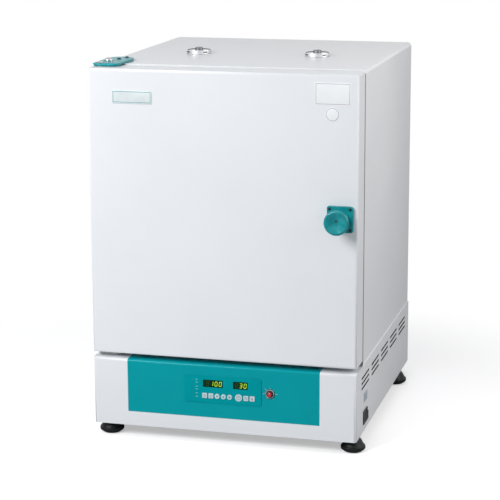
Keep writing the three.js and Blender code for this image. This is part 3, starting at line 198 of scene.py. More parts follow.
# Each entry: the material's name, two tints, roughness from and to, bump, bump's scale and patches' scale.
brushUp = (900.0, 900.0, 30.0)
brushAcross = (30.0, 900.0, 900.0)
steelTints = ((176, 178, 180), (208, 210, 211))
finishes = {
    "whitePaint": finish("whitePowderCoat", ((226, 229, 233), (231, 234, 237)), (0.34, 0.42), 0.16, patch=5,
                         surface="peel", dust=0.05, specular=0.4, coat=0.12, coatRough=0.12),
    # A paler copy of the white paint: painted highlight on the cabinet's front rim.
    "rimHighlightPaint": finish("rimHighlightPaint", ((243, 246, 248), (249, 251, 252)), (0.3, 0.38), 0.1, surface="peel"),
    # Near-black painted shade for the inside of the base and the slot edges.
    "insideShade": finish("paintedInsideShade", ((20, 22, 24), (31, 33, 35)), (0.6, 0.75), 0.3, patch=30,
                     surface="peel", dust=0.1),
    "tealPaint": finish("tealPowderCoat", ((0, 150, 159), (1, 156, 165)), (0.3, 0.36), 0.12, patch=14,
                        surface="peel", specular=0.1, specularTint=(110, 250, 255), coat=0.14),
    "tealGloss": finish("tealGlossMoulding", ((6, 122, 130), (30, 150, 156)), (0.16, 0.26), 0.02, 260, 60,
                        contrast=2.4, coat=0.2, coatRough=0.06, specular=0.35, specularTint=(190, 250, 255)),
    "tealHinge": finish("tealHingePlate", ((4, 136, 144), (18, 152, 160)), (0.3, 0.4), 0.03, 260, 40,
                        contrast=2.0, coat=0.09, specular=0.32, specularTint=(170, 250, 255)),
    "tealFilm": finish("tealKeypadFilm", ((0, 146, 155), (1, 152, 160)), (0.3, 0.38), 0.08, 2200, 25,
                       specular=0.12, specularTint=(110, 250, 255)),
    "steel": finish("brushedStainless", steelTints, (0.24, 0.4), 0.06, metal=1.0, stretch=brushUp),
    "steelAcross": finish("brushedStainlessAcross", steelTints, (0.24, 0.4), 0.06, metal=1.0,
                          stretch=brushAcross),
    "chrome": finish("polishedSteel", ((172, 174, 176), (198, 200, 202)), (0.08, 0.16), 0.01, 400, 80,
                     metal=1.0),
    "satin": finish("satinSteel", ((196, 198, 200), (222, 224, 225)), (0.38, 0.48), 0.02, 500, 70, metal=1.0),
    # A darker copy of the satin steel for the vent knobs: painted shade for the dark middle of each vent.
    "darkKnobSteel": finish("darkKnobSteel", ((108, 112, 116), (128, 132, 136)), (0.36, 0.46), 0.03, 500, 70,
                        metal=0.9),
    "darkScrew": finish("blackenedSteel", ((20, 54, 61), (42, 76, 83)), (0.3, 0.45), 0.05, 700, 120,
                        metal=0.9),
    "wire": finish("drawnWire", ((186, 188, 190), (216, 218, 219)), (0.16, 0.28), 0.03, metal=1.0,
                   stretch=(900.0, 40.0, 900.0)),
    "zinc": finish("zincPlate", ((150, 155, 160), (190, 192, 190)), (0.3, 0.5), 0.08, 500, 70, metal=0.9,
                   contrast=2.6, dust=0.2),
    "sheath": finish("heatedSheath", ((62, 58, 54), (112, 92, 70)), (0.4, 0.6), 0.1, 900, 40, metal=0.8,
                     contrast=2.8),
    "wool": finish("mineralWool", ((168, 152, 104), (212, 202, 160)), (0.9, 1.0), 0.9,
                   stretch=(500.0, 500.0, 120.0), specular=0.1, bumpDistance=0.001),
    "silicone": finish("siliconeSeal", ((52, 55, 58), (70, 72, 75)), (0.5, 0.65), 0.15, 1500, 50),
    # Painted shade: a dark strip that stands for the shadow in the door's gap.
    "gapShadeStrip": finish("gapShadeStrip", ((84, 86, 90), (100, 102, 106)), (0.5, 0.6), 0.1, 1500, 50),
    "rubber": finish("footRubber", ((5, 12, 12), (12, 20, 20)), (0.4, 0.52), 0.2, 1200, 70, specular=0.25),
    "blackPlastic": finish("blackMoulding", ((16, 18, 19), (28, 30, 31)), (0.32, 0.46), 0.15, 1800, 60),
    "keyPlastic": finish("keyCaps", ((176, 205, 212), (196, 220, 225)), (0.35, 0.45), 0.08, 2000, 90),
    "redPlastic": finish("redDial", ((176, 30, 44), (204, 48, 60)), (0.22, 0.34), 0.05, 1500, 120, coat=0.3),
    "board": finish("circuitBoard", ((18, 74, 44), (30, 96, 58)), (0.3, 0.45), 0.2, 700, 160, contrast=3.0),
    "copper": finish("varnishedWinding", ((122, 62, 30), (172, 98, 54)), (0.3, 0.5), 0.5, metal=0.5,
                     stretch=(40.0, 40.0, 1400.0), bumpDistance=0.0006),
    "ceramic": finish("glazedCeramic", ((214, 208, 196), (228, 224, 214)), (0.25, 0.4), 0.05, 600, 60,
                      dust=0.2),
    "lens": finish("darkLens", ((2, 38, 12), (6, 52, 20)), (0.18, 0.24), 0.01, 300, 40, specular=0.15),
    "unlit": finish("unlitDigits", ((14, 60, 26), (22, 70, 34)), (0.3, 0.4), 0.01, 600),
    "blankLabel": finish("blankLabel", ((234, 237, 239), (241, 243, 244)), (0.3, 0.4), 0.03, 1600, 40),
    "ratingPlate": finish("ratingPlate", ((156, 166, 180), (166, 176, 190)), (0.35, 0.45), 0.03, 1600, 40),
    "badge": finish("badgeSilver", ((206, 216, 218), (222, 229, 230)), (0.25, 0.35), 0.02, 900, 40, coat=0.4),
    "mark": finish("recessShade", ((8, 52, 58), (14, 66, 72)), (0.5, 0.6), 0.03, 1500, 90),
}
printTints = {
    "White": ((206, 226, 228), (222, 238, 239)), "Pale": ((136, 202, 206), (152, 214, 217)),
    "Dark": ((84, 104, 112), (104, 122, 130)), "Warm": ((158, 146, 156), (170, 158, 166)),
}
for tone, tints in printTints.items():
    finishes["print" + tone] = finish(tone.lower() + "Print", tints, (0.4, 0.5), 0.03, 1500, 90)


# Lit figures: a finish whose own colour also shines out.
def glow(name, tints, strength):
    material = finish(name, tints, (0.3, 0.4), 0.01, 600)
    shader = material.node_tree.nodes["Principled BSDF"]
    source = shader.inputs["Base Color"].links[0].from_socket
    setInputs(material.node_tree, shader, {"Emission Color": source, "Emission Strength": strength})
    return material


finishes["digits"] = glow("litDigits", ((176, 226, 40), (206, 240, 70)), 0.95)
print("finishes made:", len(finishes))


# Mesh helpers
faceAxes = {  # across, up and outward directions of the sides that carry new pieces
    "front": ((1, 0, 0), (0, 0, 1), (0, -1, 0)),
    "back": ((-1, 0, 0), (0, 0, 1), (0, 1, 0)),
    "right": ((0, 1, 0), (0, 0, 1), (1, 0, 0)),
    "top": ((1, 0, 0), (0, 1, 0), (0, 0, 1)),
}


def onFace(points, at, side):  # place = at + across * u + up * v + outward * w
    return np.asarray(points, float) @ np.array(faceAxes[side], float) + np.array(at, float)


def turned(flat, angle):  # (x cos a - y sin a, x sin a + y cos a)
    return flat @ np.array([(math.cos(angle), math.sin(angle)), (-math.sin(angle), math.cos(angle))])


# Merges points that lie closer than a gap in metres. A new shell is turned outwards, and where an angle is
# given, faces that are flat within it are joined.
def mendMesh(mesh, gap, outwards=False, flatWithin=0.0):
    shell = bmesh.new()
    shell.from_mesh(mesh)
    bmesh.ops.remove_doubles(shell, verts=shell.verts, dist=gap)
    if outwards:
        bmesh.ops.recalc_face_normals(shell, faces=shell.faces)
    if flatWithin:
        limit = math.radians(flatWithin)
        bmesh.ops.dissolve_limit(shell, angle_limit=limit, verts=shell.verts, edges=shell.edges)
    shell.to_mesh(mesh)
    shell.free()


# Shows a mesh as a piece that rides on a body; edges sharper than an angle in degrees stay sharp.
def showPiece(name, mesh, material, body, sharp):
    mesh.polygons.foreach_set("use_smooth", np.ones(len(mesh.polygons), bool))
    mesh.set_sharp_from_angle(angle=math.radians(sharp))
    mesh.materials.clear()
    mesh.materials.append(finishes[material])
    piece = bpy.data.objects.new(name, mesh)
    bpy.context.scene.collection.objects.link(piece)
    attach(piece, body)
    return piece


newShellGap = 2e-6  # metres


# A piece from points in millimetres and faces: place in metres = point * 0.001 + the oven's origin.
def meshPiece(name, verts, faces, material, body, slot, sharp=35.0):
    mesh = bpy.data.meshes.new(name)
    mesh.from_pydata((verts * mm + ovenOrigin).tolist(), [], faces)
    mendMesh(mesh, newShellGap, outwards=True)
    return showPiece(name, mesh, material, body, sharp)


# A piece from shells, each an array of rings: ring i, point j joins ring i + 1, point j + 1, and a cap
# closes each end.
def makePiece(name, shells, material, body, slot, sharp=35.0):
    faces, start = [], 0
    for rings in shells:
        index = np.arange(start, start + rings.shape[0] * rings.shape[1]).reshape(rings.shape[:2])
        ahead = np.roll(index, -1, axis=1)
        faces += np.stack([index[:-1], ahead[:-1], ahead[1:], index[1:]], -1).reshape(-1, 4).tolist()
        faces += [index[0][::-1].tolist(), index[-1].tolist()]
        start += index.size
    verts = np.concatenate([rings.reshape(-1, 3) for rings in shells])
    return meshPiece(name, verts, faces, material, body, slot, sharp)


# A closed loop of rings, such as a gasket: the last ring joins the first one, and there are no caps.
def loopPiece(name, rings, material, body, slot, sharp=35.0):
    index = np.arange(rings.shape[0] * rings.shape[1]).reshape(rings.shape[:2])
    ahead, after = np.roll(index, -1, axis=1), np.roll(index, -1, axis=0)
    quads = np.stack([index, ahead, np.roll(ahead, -1, axis=0), after], -1).reshape(-1, 4)
    return meshPiece(name, rings.reshape(-1, 3), quads.tolist(), material, body, slot, sharp)


# Rounds a polyline: each inner corner C becomes (1-t)^2 A + 2t(1-t) C + t^2 B, where A and B are set back
# from it by the radius, or by nearly half of the stretch where that is shorter.
def softened(points, radius, steps):
    points = np.asarray(points, float)
    radii = np.broadcast_to(np.asarray(radius, float), len(points) - 2)
    corner = points[1:-1]
    toBefore, toAfter = points[:-2] - corner, points[2:] - corner
    ends = []
    for way in (toBefore, toAfter):
        length = np.linalg.norm(way, axis=1)
        ends.append(corner + way / length[:, None] * np.minimum(radii, length * 0.49)[:, None])
    a, b = ends
    t = np.linspace(0, 1, steps)[None, :, None]
    arcs = (1 - t) ** 2 * a[:, None] + 2 * t * (1 - t) * corner[:, None] + t**2 * b[:, None]
    return np.concatenate([points[:1], arcs.reshape(-1, 2), points[-1:]])


# A profile of (radius, outward) turned about the outward axis: u = r cos a, v = r sin a, w = outward.
def turnedRings(profile, sides, at, side):
    profile = np.asarray(profile, float)
    angle = np.linspace(0, 2 * np.pi, sides, endpoint=False)
    r, h = profile[:, :1], profile[:, 1:2]
    return onFace(np.stack([r * np.cos(angle), r * np.sin(angle), h + 0 * angle], -1), at, side)


# A dome's profile over a quarter turn: radius = r cos t, outward = base + rise * sin t.
def domeRows(radius, rise, steps, base=0.0):
    t = np.linspace(0, np.pi / 2, steps)
    return np.column_stack([radius * np.cos(t), base + rise * np.sin(t)])


# A rectangle with four corner radii as points: each corner is centre + radius (cos a, sin a).
def roundedPoints(width, height, radii, steps):
    radii = np.maximum(np.broadcast_to(np.asarray(radii, float), 4), 1e-3)
    signs = np.array([(1, 1), (-1, 1), (-1, -1), (1, -1)], float)
    centre = signs * (np.array([width, height]) / 2 - radii[:, None])
    angle = (np.arange(4) * np.pi / 2)[:, None] + np.linspace(0, np.pi / 2, steps)[None, :]
    arc = np.stack([np.cos(angle), np.sin(angle)], -1) * radii[:, None, None]
    return (centre[:, None] + arc).reshape(-1, 2)


# A slab as rings: at each (inset, height) the outline is drawn in by the inset and raised by the height.
def slabRings(size, radii, profile, at, side, steps):
    radii = np.broadcast_to(np.asarray(radii, float), 4)
    rings = []
    for inset, rise in profile:
        flat = roundedPoints(size[0] - 2 * inset, size[1] - 2 * inset, radii - inset, steps)
        rings.append(np.column_stack([flat, np.full(len(flat), rise)]))
    return onFace(np.array(rings), at, side)


# A rounded edge as (inset, height): inset = r (1 - cos t), height = thickness - r (1 - sin t).
def roundEdge(thickness, radius, steps=5):
    t = np.linspace(0, np.pi / 2, steps)
    edge = np.column_stack([radius * (1 - np.cos(t)), thickness - radius * (1 - np.sin(t))])
    return [(0.0, 0.0), *edge.tolist()]


# A level round wire: rings of radius r carried from start to end, shrinking to r sin t at each end.
def wireRings(start, end, radius, sides):
    start, end = np.array(start, float), np.array(end, float)
    length = np.linalg.norm(end - start)
    along = (end - start) / length
    across = np.cross(along, (0.0, 0.0, 1.0))
    over = np.cross(along, across)
    t = np.linspace(0, np.pi / 2, 4)
    place = np.concatenate([radius * (1 - np.cos(t)), length - radius * (1 - np.cos(t[::-1]))])
    size = np.concatenate([radius * np.sin(t), radius * np.sin(t[::-1])]).clip(1e-3)
    angle = np.linspace(0, 2 * np.pi, sides, endpoint=False)
    circle = np.cos(angle)[:, None] * across + np.sin(angle)[:, None] * over
    return start + along * place[:, None, None] + circle[None] * size[:, None, None]


# A profile of (outward, rise) carried along an open line in a plane: place = line + mitre * outward, where
# the mitre at a point is (n + m) / (1 + n . m) for the outward directions n before it and m after it.
def carriedRings(line, profile, at, side):
    line, profile = np.asarray(line, float), np.asarray(profile, float)
    along = np.diff(line, axis=0)
    along /= np.linalg.norm(along, axis=1)[:, None]
    outward = np.column_stack([along[:, 1], -along[:, 0]])
    before, after = np.vstack([outward[:1], outward]), np.vstack([outward, outward[-1:]])
    mitre = (before + after) / (1 + (before * after).sum(1))[:, None]
    flat = line[:, None, :] + mitre[:, None, :] * profile[None, :, :1]
    rise = np.broadcast_to(profile[None, :, 1:2], (len(line), len(profile), 1))
    return onFace(np.concatenate([flat, rise], -1), at, side)


printSunk = 0.05


# Thin print on the front: each outline is lifted off its face by a hair. On a turned face, riseOf gives the
# face's own rise at a distance from its middle.
def printed(name, outlines, at, material, body, thick=0.12, riseOf=None):
    shells = []
    for outline in outlines:
        flat = np.asarray(outline, float)
        rise = riseOf(np.linalg.norm(flat, axis=1)) if riseOf else np.zeros(len(flat))
        rings = np.stack([np.column_stack([flat, rise - printSunk]), np.column_stack([flat, rise + thick])])
        shells.append(onFace(rings, at, "front"))
    return makePiece(name, shells, material, body, "black_plastic")


def bar(x, y, width, height):  # a stroke round (x, y) with slightly rounded corners
    return roundedPoints(width, height, min(width, height) * 0.2, 2) + np.array([x, y])


def frameBars(width, height, line):  # a border as four strokes
    return [bar(0, s * (height - line) / 2, width, line) for s in (-1, 1)] + \
           [bar(s * (width - line) / 2, 0, line, height - 2 * line) for s in (-1, 1)]


def ringPieces(outer, inner, pieces=12):  # a ring as short arcs, each between two angles and two radii
    edge = np.linspace(0, 2 * np.pi, pieces + 1)
    ray = np.stack([np.cos(edge), np.sin(edge)], -1)
    return list(np.stack([ray[:-1] * inner, ray[:-1] * outer, ray[1:] * outer, ray[1:] * inner], 1))


# Screws: each head is a turned dome, and two dark bars through it make its cross. Sizes are shares of the
# head's radius, apart from sunk, corner and proud, which are millimetres.
screw = {"rise": 0.45, "neck": 0.9, "crossLong": 1.15, "crossWide": 0.26, "sunk": 0.15, "corner": 0.05,
         "proud": 0.04}


def screwHeads(name, places, side, radius, body, material="chrome", lift=0.0):
    rise = radius * screw["rise"]
    profile = [(radius * screw["neck"], lift - screw["sunk"]), *domeRows(radius, rise, 6, lift).tolist()]
    makePiece(name, [turnedRings(profile, 20, at, side) for at in places], material, body, "stainless")
    cross = (radius * screw["crossLong"], radius * screw["crossWide"])
    rows = [(0, lift), (0, lift + rise + screw["proud"])]
    bars = [slabRings(size, screw["corner"], rows, at, side, steps=2)
            for at in places for size in (cross, cross[::-1])]
    makePiece(name + "_cross", bars, "blackPlastic", body, "stainless")


# Carried-over nodes
edging = {"gap": 4e-6, "flatWithin": 0.4, "segments": 2, "sharp": 40.0}  # gap in metres, angles in degrees


# A copy of a node's mesh, merged, with even normals; its edges are rounded where a width is given. With a
# width its flat faces are joined first, so only nodes without slots or holes have one.
def edgedCopy(node, material, width):
    mesh = frame["nodes"][node].data.copy()
    mesh.name = node + "_edged"
    mendMesh(mesh, edging["gap"], flatWithin=edging["flatWithin"] if width else 0.0)
    if mesh.has_custom_normals:
        mesh.normals_split_custom_set([(0.0, 0.0, 0.0)] * len(mesh.loops))
    piece = showPiece(node + "_edged", mesh, material, bodyOf[node], edging["sharp"])
    if width:
        bevel = piece.modifiers.new("edges", "BEVEL")
        bevel.width, bevel.segments, bevel.limit_method = width * mm, edging["segments"], "ANGLE"
        bevel.angle_limit = math.radians(edging["sharp"])
        bevel.miter_outer = "MITER_ARC"
    weighted = piece.modifiers.new("evenNormals", "WEIGHTED_NORMAL")
    weighted.keep_sharp = not width
    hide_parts(node)


sheetMetal = {
    "outer_cabinet": "whitePaint", "back_panel": "whitePaint", "door_skin": "whitePaint",
    "base_housing": "whitePaint", "control_panel": "tealPaint", "keypad_overlay": "tealFilm",
    "front_frame": "steelAcross", "door_inner_panel": "steel", "chamber_liner": "steel",
    "heater_cover": "steelAcross", "shelf_rail_left": "steel", "shelf_rail_right": "steel",
    "hinge_bottom_plate": "zinc", "latch_cam": "zinc", "latch_keeper": "zinc", "base_floor": "zinc",
    "switch_body": "blackPlastic", "power_inlet": "blackPlastic", "terminal_block": "ceramic",
    "solid_state_relay": "blackPlastic", "transformer": "copper",
}
edgeWidths = {"shelf_rail_left": 0.4, "shelf_rail_right": 0.4, "terminal_block": 0.4,
              "solid_state_relay": 0.6, "transformer": 0.8}
for node, material in sheetMetal.items():
    edgedCopy(node, material, edgeWidths.get(node, 0))

plainNodes = {
    "insulation_jacket": "wool", "rear_insulation": "wool", "door_insulation": "wool", "cabinet_deck": "zinc",
    "control_board": "board", "vent_port_left": "steel", "vent_port_right": "steel",
    "hinge_top_pin": "steel", "hinge_bottom_pin": "steel", "limiter_thermostat": "blackPlastic",
    "temperature_probe": "steel",
}
for node, material in plainNodes.items():
    for place in frame["nodes"][node].material_slots:
        place.material = finishes[material]
print("carried-over nodes dressed:", len(sheetMetal) + len(plainNodes))

# Base housing, inside: faces deeper than the sheet's middle that look towards the oven's middle are painted
# near black, and so are the cut edges of the slots: faces inside the sheet that look along it. This near
# black is painted shade that darkens the slots and the inside of the base.
housing = {"half": 275, "back": 602.04, "top": 167, "depth": 0.8, "middle": (0, 300, 90), "wall": 1.5,
           "slotLow": 35, "slotHigh": 146, "cornerMargin": 20, "skin": 0.02, "lookAlong": 0.5}
housingMesh = bpy.data.objects["base_housing_edged"].data
centres, facing = np.empty((2, len(housingMesh.polygons) * 3))
housingMesh.polygons.foreach_get("center", centres)
housingMesh.polygons.foreach_get("normal", facing)
centres = (centres.reshape(-1, 3) - ovenOrigin) / mm
facing = facing.reshape(-1, 3)
x, y, z = centres.T
half, back, depth, margin = housing["half"], housing["back"], housing["depth"], housing["cornerMargin"]
inward = ((centres - housing["middle"]) * facing).sum(1) < 0
within = inward & (np.abs(x) < half - depth) & (y > depth) & (y < back - depth) & (z < housing["top"] - depth)
alongX, alongY = (np.abs(facing[:, :2]) < housing["lookAlong"]).T
halfWall = housing["wall"] / 2
inSide = np.abs(np.abs(x) - half + halfWall) < halfWall - housing["skin"]
inBack = np.abs(y - back + halfWall) < halfWall - housing["skin"]
sideEdge = inSide & alongX & (np.abs(y - back / 2) < back / 2 - margin)
backEdge = inBack & alongY & (np.abs(x) < half - margin)
slotEdge = (sideEdge | backEdge) & (z > housing["slotLow"]) & (z < housing["slotHigh"])
housingMesh.materials.append(finishes["insideShade"])
housingMesh.polygons.foreach_set("material_index", (within | slotEdge).astype(np.int32))
print("primer faces in the base:", int(within.sum()), "and on slot edges:", int(slotEdge.sum()))

# Cabinet trim: the rim runs up the right side of the casing's front, over its top and down the left. Its
# paler paint is a painted highlight of the lit front edge.
trim = {"half": 273, "top": 762, "bottom": 167.4, "corner": 8, "front": 66, "back": 600.04,
        "rimWidth": 8, "rimRise": 0.7, "rimSunk": 0.1}
half, front, back = trim["half"], trim["front"], trim["back"]
cornerMiddle = np.array([half - trim["corner"], trim["top"] - trim["corner"]])
arch = cornerMiddle + domeRows(trim["corner"], trim["corner"], 8)
rimLine = np.concatenate([[(half, trim["bottom"])], arch, arch[::-1] * (-1, 1), [(-half, trim["bottom"])]])
rise, width, sunk = trim["rimRise"], trim["rimWidth"], trim["rimSunk"]
rimProfile = np.array([(-sunk, 0), (rise * 0.5, 0), (rise, rise * 0.6), (rise, width - rise), (0, width),
                       (-sunk, width)])
rimRings = carriedRings(rimLine, rimProfile * (1, -1), (0, front, 0), "front")
makePiece("cabinet_rim", [rimRings], "rimHighlightPaint", "oven_body", "white_paint", sharp=50)

# Bead on the base's ledge round the foot of the cabinet: a quarter round along right side, back and left.
bead = {"width": 1.3, "rise": 1.3, "gap": 0.03, "sunk": 0.3, "ledge": 167}
ledgeLine = [(half, front), (half, back), (-half, back), (-half, front)]
beadFoot = [(bead["gap"], -bead["sunk"]), (bead["width"], -bead["sunk"])]
beadProfile = np.concatenate([beadFoot, domeRows(bead["width"], bead["rise"], 8)])
beadRings = carriedRings(ledgeLine, beadProfile, (0, 0, bead["ledge"]), "top")
makePiece("ledge_bead", [beadRings], "whitePaint", "oven_body", "white_paint", sharp=50)

# A dark strip on the cabinet where the door closes on its latch side: painted shade for the gap between door
# and cabinet.
strip = {"x": 272.9, "y": (58.8, 65.9), "z": (169.5, 757), "corner": 0.8,
         "rows": [(0, 0), (0, 1.7), (0.3, 2.05)]}
(y0, y1), (z0, z1) = strip["y"], strip["z"]
stripRings = slabRings((y1 - y0, z1 - z0), strip["corner"], strip["rows"],
                       (strip["x"], (y0 + y1) / 2, (z0 + z1) / 2), "right", steps=4)
makePiece("latch_side_gap_shade", [stripRings], "gapShadeStrip", "oven_body", "black_rubber", sharp=50)
print("cabinet trim made")

# Handle plate
handle = {"at": (240, 0, 480), "plate": (52, 52), "corner": 4.5, "depth": 6, "edge": 1.6, "gap": 0.3,
          "screwInset": 5.3, "screwHead": 3.1}
atX, _, atZ = handle["at"]
plateRings = slabRings(handle["plate"], handle["corner"], roundEdge(handle["depth"], handle["edge"]),
                       (atX, -handle["gap"], atZ), "front", steps=8)
plate = makePiece("handle_plate_cover", [plateRings], "tealGloss", "door", slotOf["handle_plate"])
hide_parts("handle_plate")

# Knob: its face is a shallow bowl inside a rounded rim, and its back curves in to the neck and out to the
# foot. Profiles are (radius, outward).
knob = {"reach": 45, "bowl": 20, "dish": 4.6, "power": 1.4, "round": 1.8,
        "back": [(22.3, 45), (24.5, 42.8), (24.5, 38.5), (21.5, 36), (15, 32.5), (14, 28), (14, 16),
                 (18, 8.2), (18, 6.7), (0, 6.7)]}
spindle = {"profile": [(0, 6.7), (5, 6.7), (5, -70), (4, -71), (0, -71)], "tang": (7, 7), "tangCorner": 0.6,
           "tangLength": 6, "tangFoot": 75.8}


def bowlRise(distance):  # the bowl's face stands out by dish * (distance / bowl radius) ** power
    return knob["dish"] * (distance / knob["bowl"]) ** knob["power"]


bowlFoot = knob["reach"] - knob["dish"]
bowlPlaces = np.linspace(0, knob["bowl"], 9)
bowlRows = np.column_stack([bowlPlaces, bowlFoot + bowlRise(bowlPlaces)])
knobProfile = softened(np.concatenate([bowlRows, knob["back"]]), knob["round"], 5)
knobRings = turnedRings(knobProfile, 96, handle["at"], "front")
knobBody = makePiece("knob_body", [knobRings], "tealGloss", "knob", slotOf["handle_knob"], sharp=50)
spindleRings = turnedRings(spindle["profile"], 32, handle["at"], "front")
tangRings = slabRings(spindle["tang"], spindle["tangCorner"], [(0, 0), (0, spindle["tangLength"])],
                      (atX, spindle["tangFoot"], atZ), "front", steps=3)
knobSpindle = makePiece("knob_spindle", [spindleRings, tangRings], "zinc", "knob", slotOf["latch_cam"])
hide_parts("handle_knob")
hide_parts("handle_knob")

inset = handle["plate"][0] / 2 - handle["screwInset"]
screwFoot = -handle["depth"] - handle["gap"]
handleScrews = [(atX + sx * inset, screwFoot, atZ + sz * inset) for sx in (-1, 1) for sz in (-1, 1)]
screwHeads("handle_screws", handleScrews, "front", handle["screwHead"], "door", "darkScrew")

# Arrow on the knob: two strokes that meet above the middle and a shaft in two lengths, laid in the bowl.
arrow = {"stroke": (5.6, 1.5), "turn": 1.05, "sideways": 1.5, "up": 4.4, "shaft": (0.9, 6.0), "thick": 0.25}
pointer = [turned(bar(0, 0, *arrow["stroke"]), -s * arrow["turn"]) + (s * arrow["sideways"], arrow["up"])
           for s in (-1, 1)]
pointer += [bar(0, s * arrow["shaft"][1] / 2, *arrow["shaft"]) for s in (1, -1)]
printed("knob_pointer", pointer, (atX, -bowlFoot, atZ), "mark", "knob", arrow["thick"], bowlRise)
print("handle made")

# Hinge on the top: the plate stands on a foot that is set back from its edge.
hinge = {"left": -274, "front": 24, "width": 56, "length": 126, "thick": 5, "at": 762.3, "edge": 2.6,
         "corners": (27.8, 27.8, 12, 12), "footInset": 1.8, "footRise": 1.9, "footEdge": 0.2,
         "screws": ((-243, 105), (-236, 134)), "screwHead": 4.6, "screwLift": 0.2}
footRise, footEdge = hinge["footRise"], hinge["footEdge"]
hingeRows = [(hinge["footInset"], 0), (hinge["footInset"], footRise), (footEdge, footRise + footEdge)]
hingeRows += roundEdge(hinge["thick"], hinge["edge"], 8)[1:]
hingeAt = (hinge["left"] + hinge["width"] / 2, hinge["front"] + hinge["length"] / 2, hinge["at"])
hingeSize = (hinge["width"], hinge["length"])
hingeRings = slabRings(hingeSize, hinge["corners"], hingeRows, hingeAt, "top", steps=12)
hingeSlot = slotOf["hinge_top_plate"]
hingeCover = makePiece("hinge_top_cover", [hingeRings], "tealHinge", "oven_body", hingeSlot)
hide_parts("hinge_top_plate")

# Domed nut on the hinge: a stepped skirt as (radius, outward) with a dome on it.
nut = {"at": (-253, 70), "height": 7.2, "dome": 8.2,
       "skirt": [(0, 0.3), (9.5, 0.3), (9.5, 1.2), (8.6, 1.6), (8.6, 2.2)]}
hingeTop = hinge["at"] + hinge["thick"]
skirtTop = nut["skirt"][-1][1]
nutRows = np.concatenate([nut["skirt"], domeRows(nut["dome"], nut["height"] - skirtTop, 10, skirtTop)])
nutRings = turnedRings(nutRows, 48, (*nut["at"], hingeTop), "top")
hingeNut = makePiece("hinge_dome", [nutRings], "chrome", "oven_body", slotOf["hinge_top_nut"])
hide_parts("hinge_top_nut")
hingeScrews = [(x, y, hingeTop) for x, y in hinge["screws"]]
screwHeads("hinge_screws", hingeScrews, "top", hinge["screwHead"], "oven_body", "darkScrew",
           hinge["screwLift"])
print("hinge made")

# Vents. Levels are the skirt's foot, sill, lintel and top. Profiles are (radius, height over the floor), and
# each round list gives the radii at a profile's inner corners.
vent = {"x": 128, "outer": 26.5, "inner": 25.6, "levels": (762.6, 764.9, 767.4, 768.6), "window": 11,
        "windows": 4, "steps": 96,
        "cap": [(0, 768.1), (26, 768.1), (26.5, 768.5), (26.5, 769.8), (24.5, 769.8), (24.3, 768.25),
                (9.1, 768.55), (0, 768.55)],
        "capRound": [0.1, 0.2, 0.7, 0.6, 0.3, 0.1],
        "band": [(23.6, 768.3), (24.6, 768.3), (24.6, 769.55), (24.05, 769.55)],
        "knob": [(0, 768.25), (9, 768.25), (8.6, 769.35), (8.6, 773.6), (7.2, 774.8), (0, 774.4)],
        "knobRound": [0.2, 0.6, 0.8, 0.8]}
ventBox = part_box("vent_damper_left")
ventY = (ventBox[0][1] + ventBox[1][1]) / 2 / mm - ovenOrigin[1] / mm


# Skirt with windows: two walls of a tube, place = (radius cos a, radius sin a, level). The middle row is left
# out where a window is, and its sill, lintel and two ends join the outer wall to the inner one.
def windowedSkirt(at):
    n = vent["steps"]
    angle = np.linspace(0, 2 * np.pi, n, endpoint=False)
    ring = np.stack([np.cos(angle), np.sin(angle)], -1)
    heights = np.repeat(vent["levels"], n).reshape(4, n, 1)
    walls = [np.concatenate([np.repeat((ring * r)[None], 4, 0), heights], -1)
             for r in (vent["outer"], vent["inner"])]
    points = np.array(walls) + np.array(at)
    index = np.arange(8 * n).reshape(2, 4, n)  # wall, level, angle
    ahead = np.roll(index, -1, axis=2)
    between = 2 * np.pi / vent["windows"]
    fromWindow = (angle + np.pi / n) % between - between / 2
    opened = np.abs(fromWindow) * vent["outer"] < vent["window"] / 2
    solid, everywhere = ~opened, np.full(n, True)
    faces = []
    for row, keep in ((0, everywhere), (1, solid), (2, everywhere)):
        for wall, flip in ((0, 1), (1, -1)):
            low, high = (index[wall, row], ahead[wall, row]), (ahead[wall, row + 1], index[wall, row + 1])
            faces.append(np.stack([*low, *high], -1)[keep][:, ::flip])
    for row, keep, flip in ((0, everywhere, 1), (3, everywhere, -1), (1, opened, -1), (2, opened, 1)):
        quad = np.stack([index[0, row], index[1, row], ahead[1, row], ahead[0, row]], -1)[keep]
        faces.append(quad[:, ::flip])
    for edge in (solid & ~np.roll(solid, 1), ~solid & np.roll(solid, 1)):
        faces.append(np.stack([index[0, 1], index[0, 2], index[1, 2], index[1, 1]], -1)[edge])
    return points.reshape(-1, 3), np.concatenate(faces).tolist()


for name, x in (("left", -vent["x"]), ("right", vent["x"])):
    at, body, slot = (x, ventY, 0), f"{name}_damper", slotOf[f"vent_damper_{name}"]
    skirt = meshPiece(f"vent_skirt_{name}", *windowedSkirt(at), "satin", body, slot, sharp=40)
    capRings = turnedRings(softened(vent["cap"], vent["capRound"], 5), 96, at, "top")
    makePiece(f"vent_cap_{name}", [capRings], "satin", body, slot, sharp=50)
    # A dark rubber ring inside the rim: painted shade for the far inner wall of the rim.
    bandRings = turnedRings(vent["band"], 96, at, "top")
    loopPiece(f"vent_shade_band_{name}", bandRings, "rubber", body, "black_rubber", sharp=50)
    gripRings = turnedRings(softened(vent["knob"], vent["knobRound"], 5), 64, at, "top")
    makePiece(f"vent_knob_{name}", [gripRings], "darkKnobSteel", body, slot, sharp=50)
    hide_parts(f"vent_damper_{name}")
print("vents made")

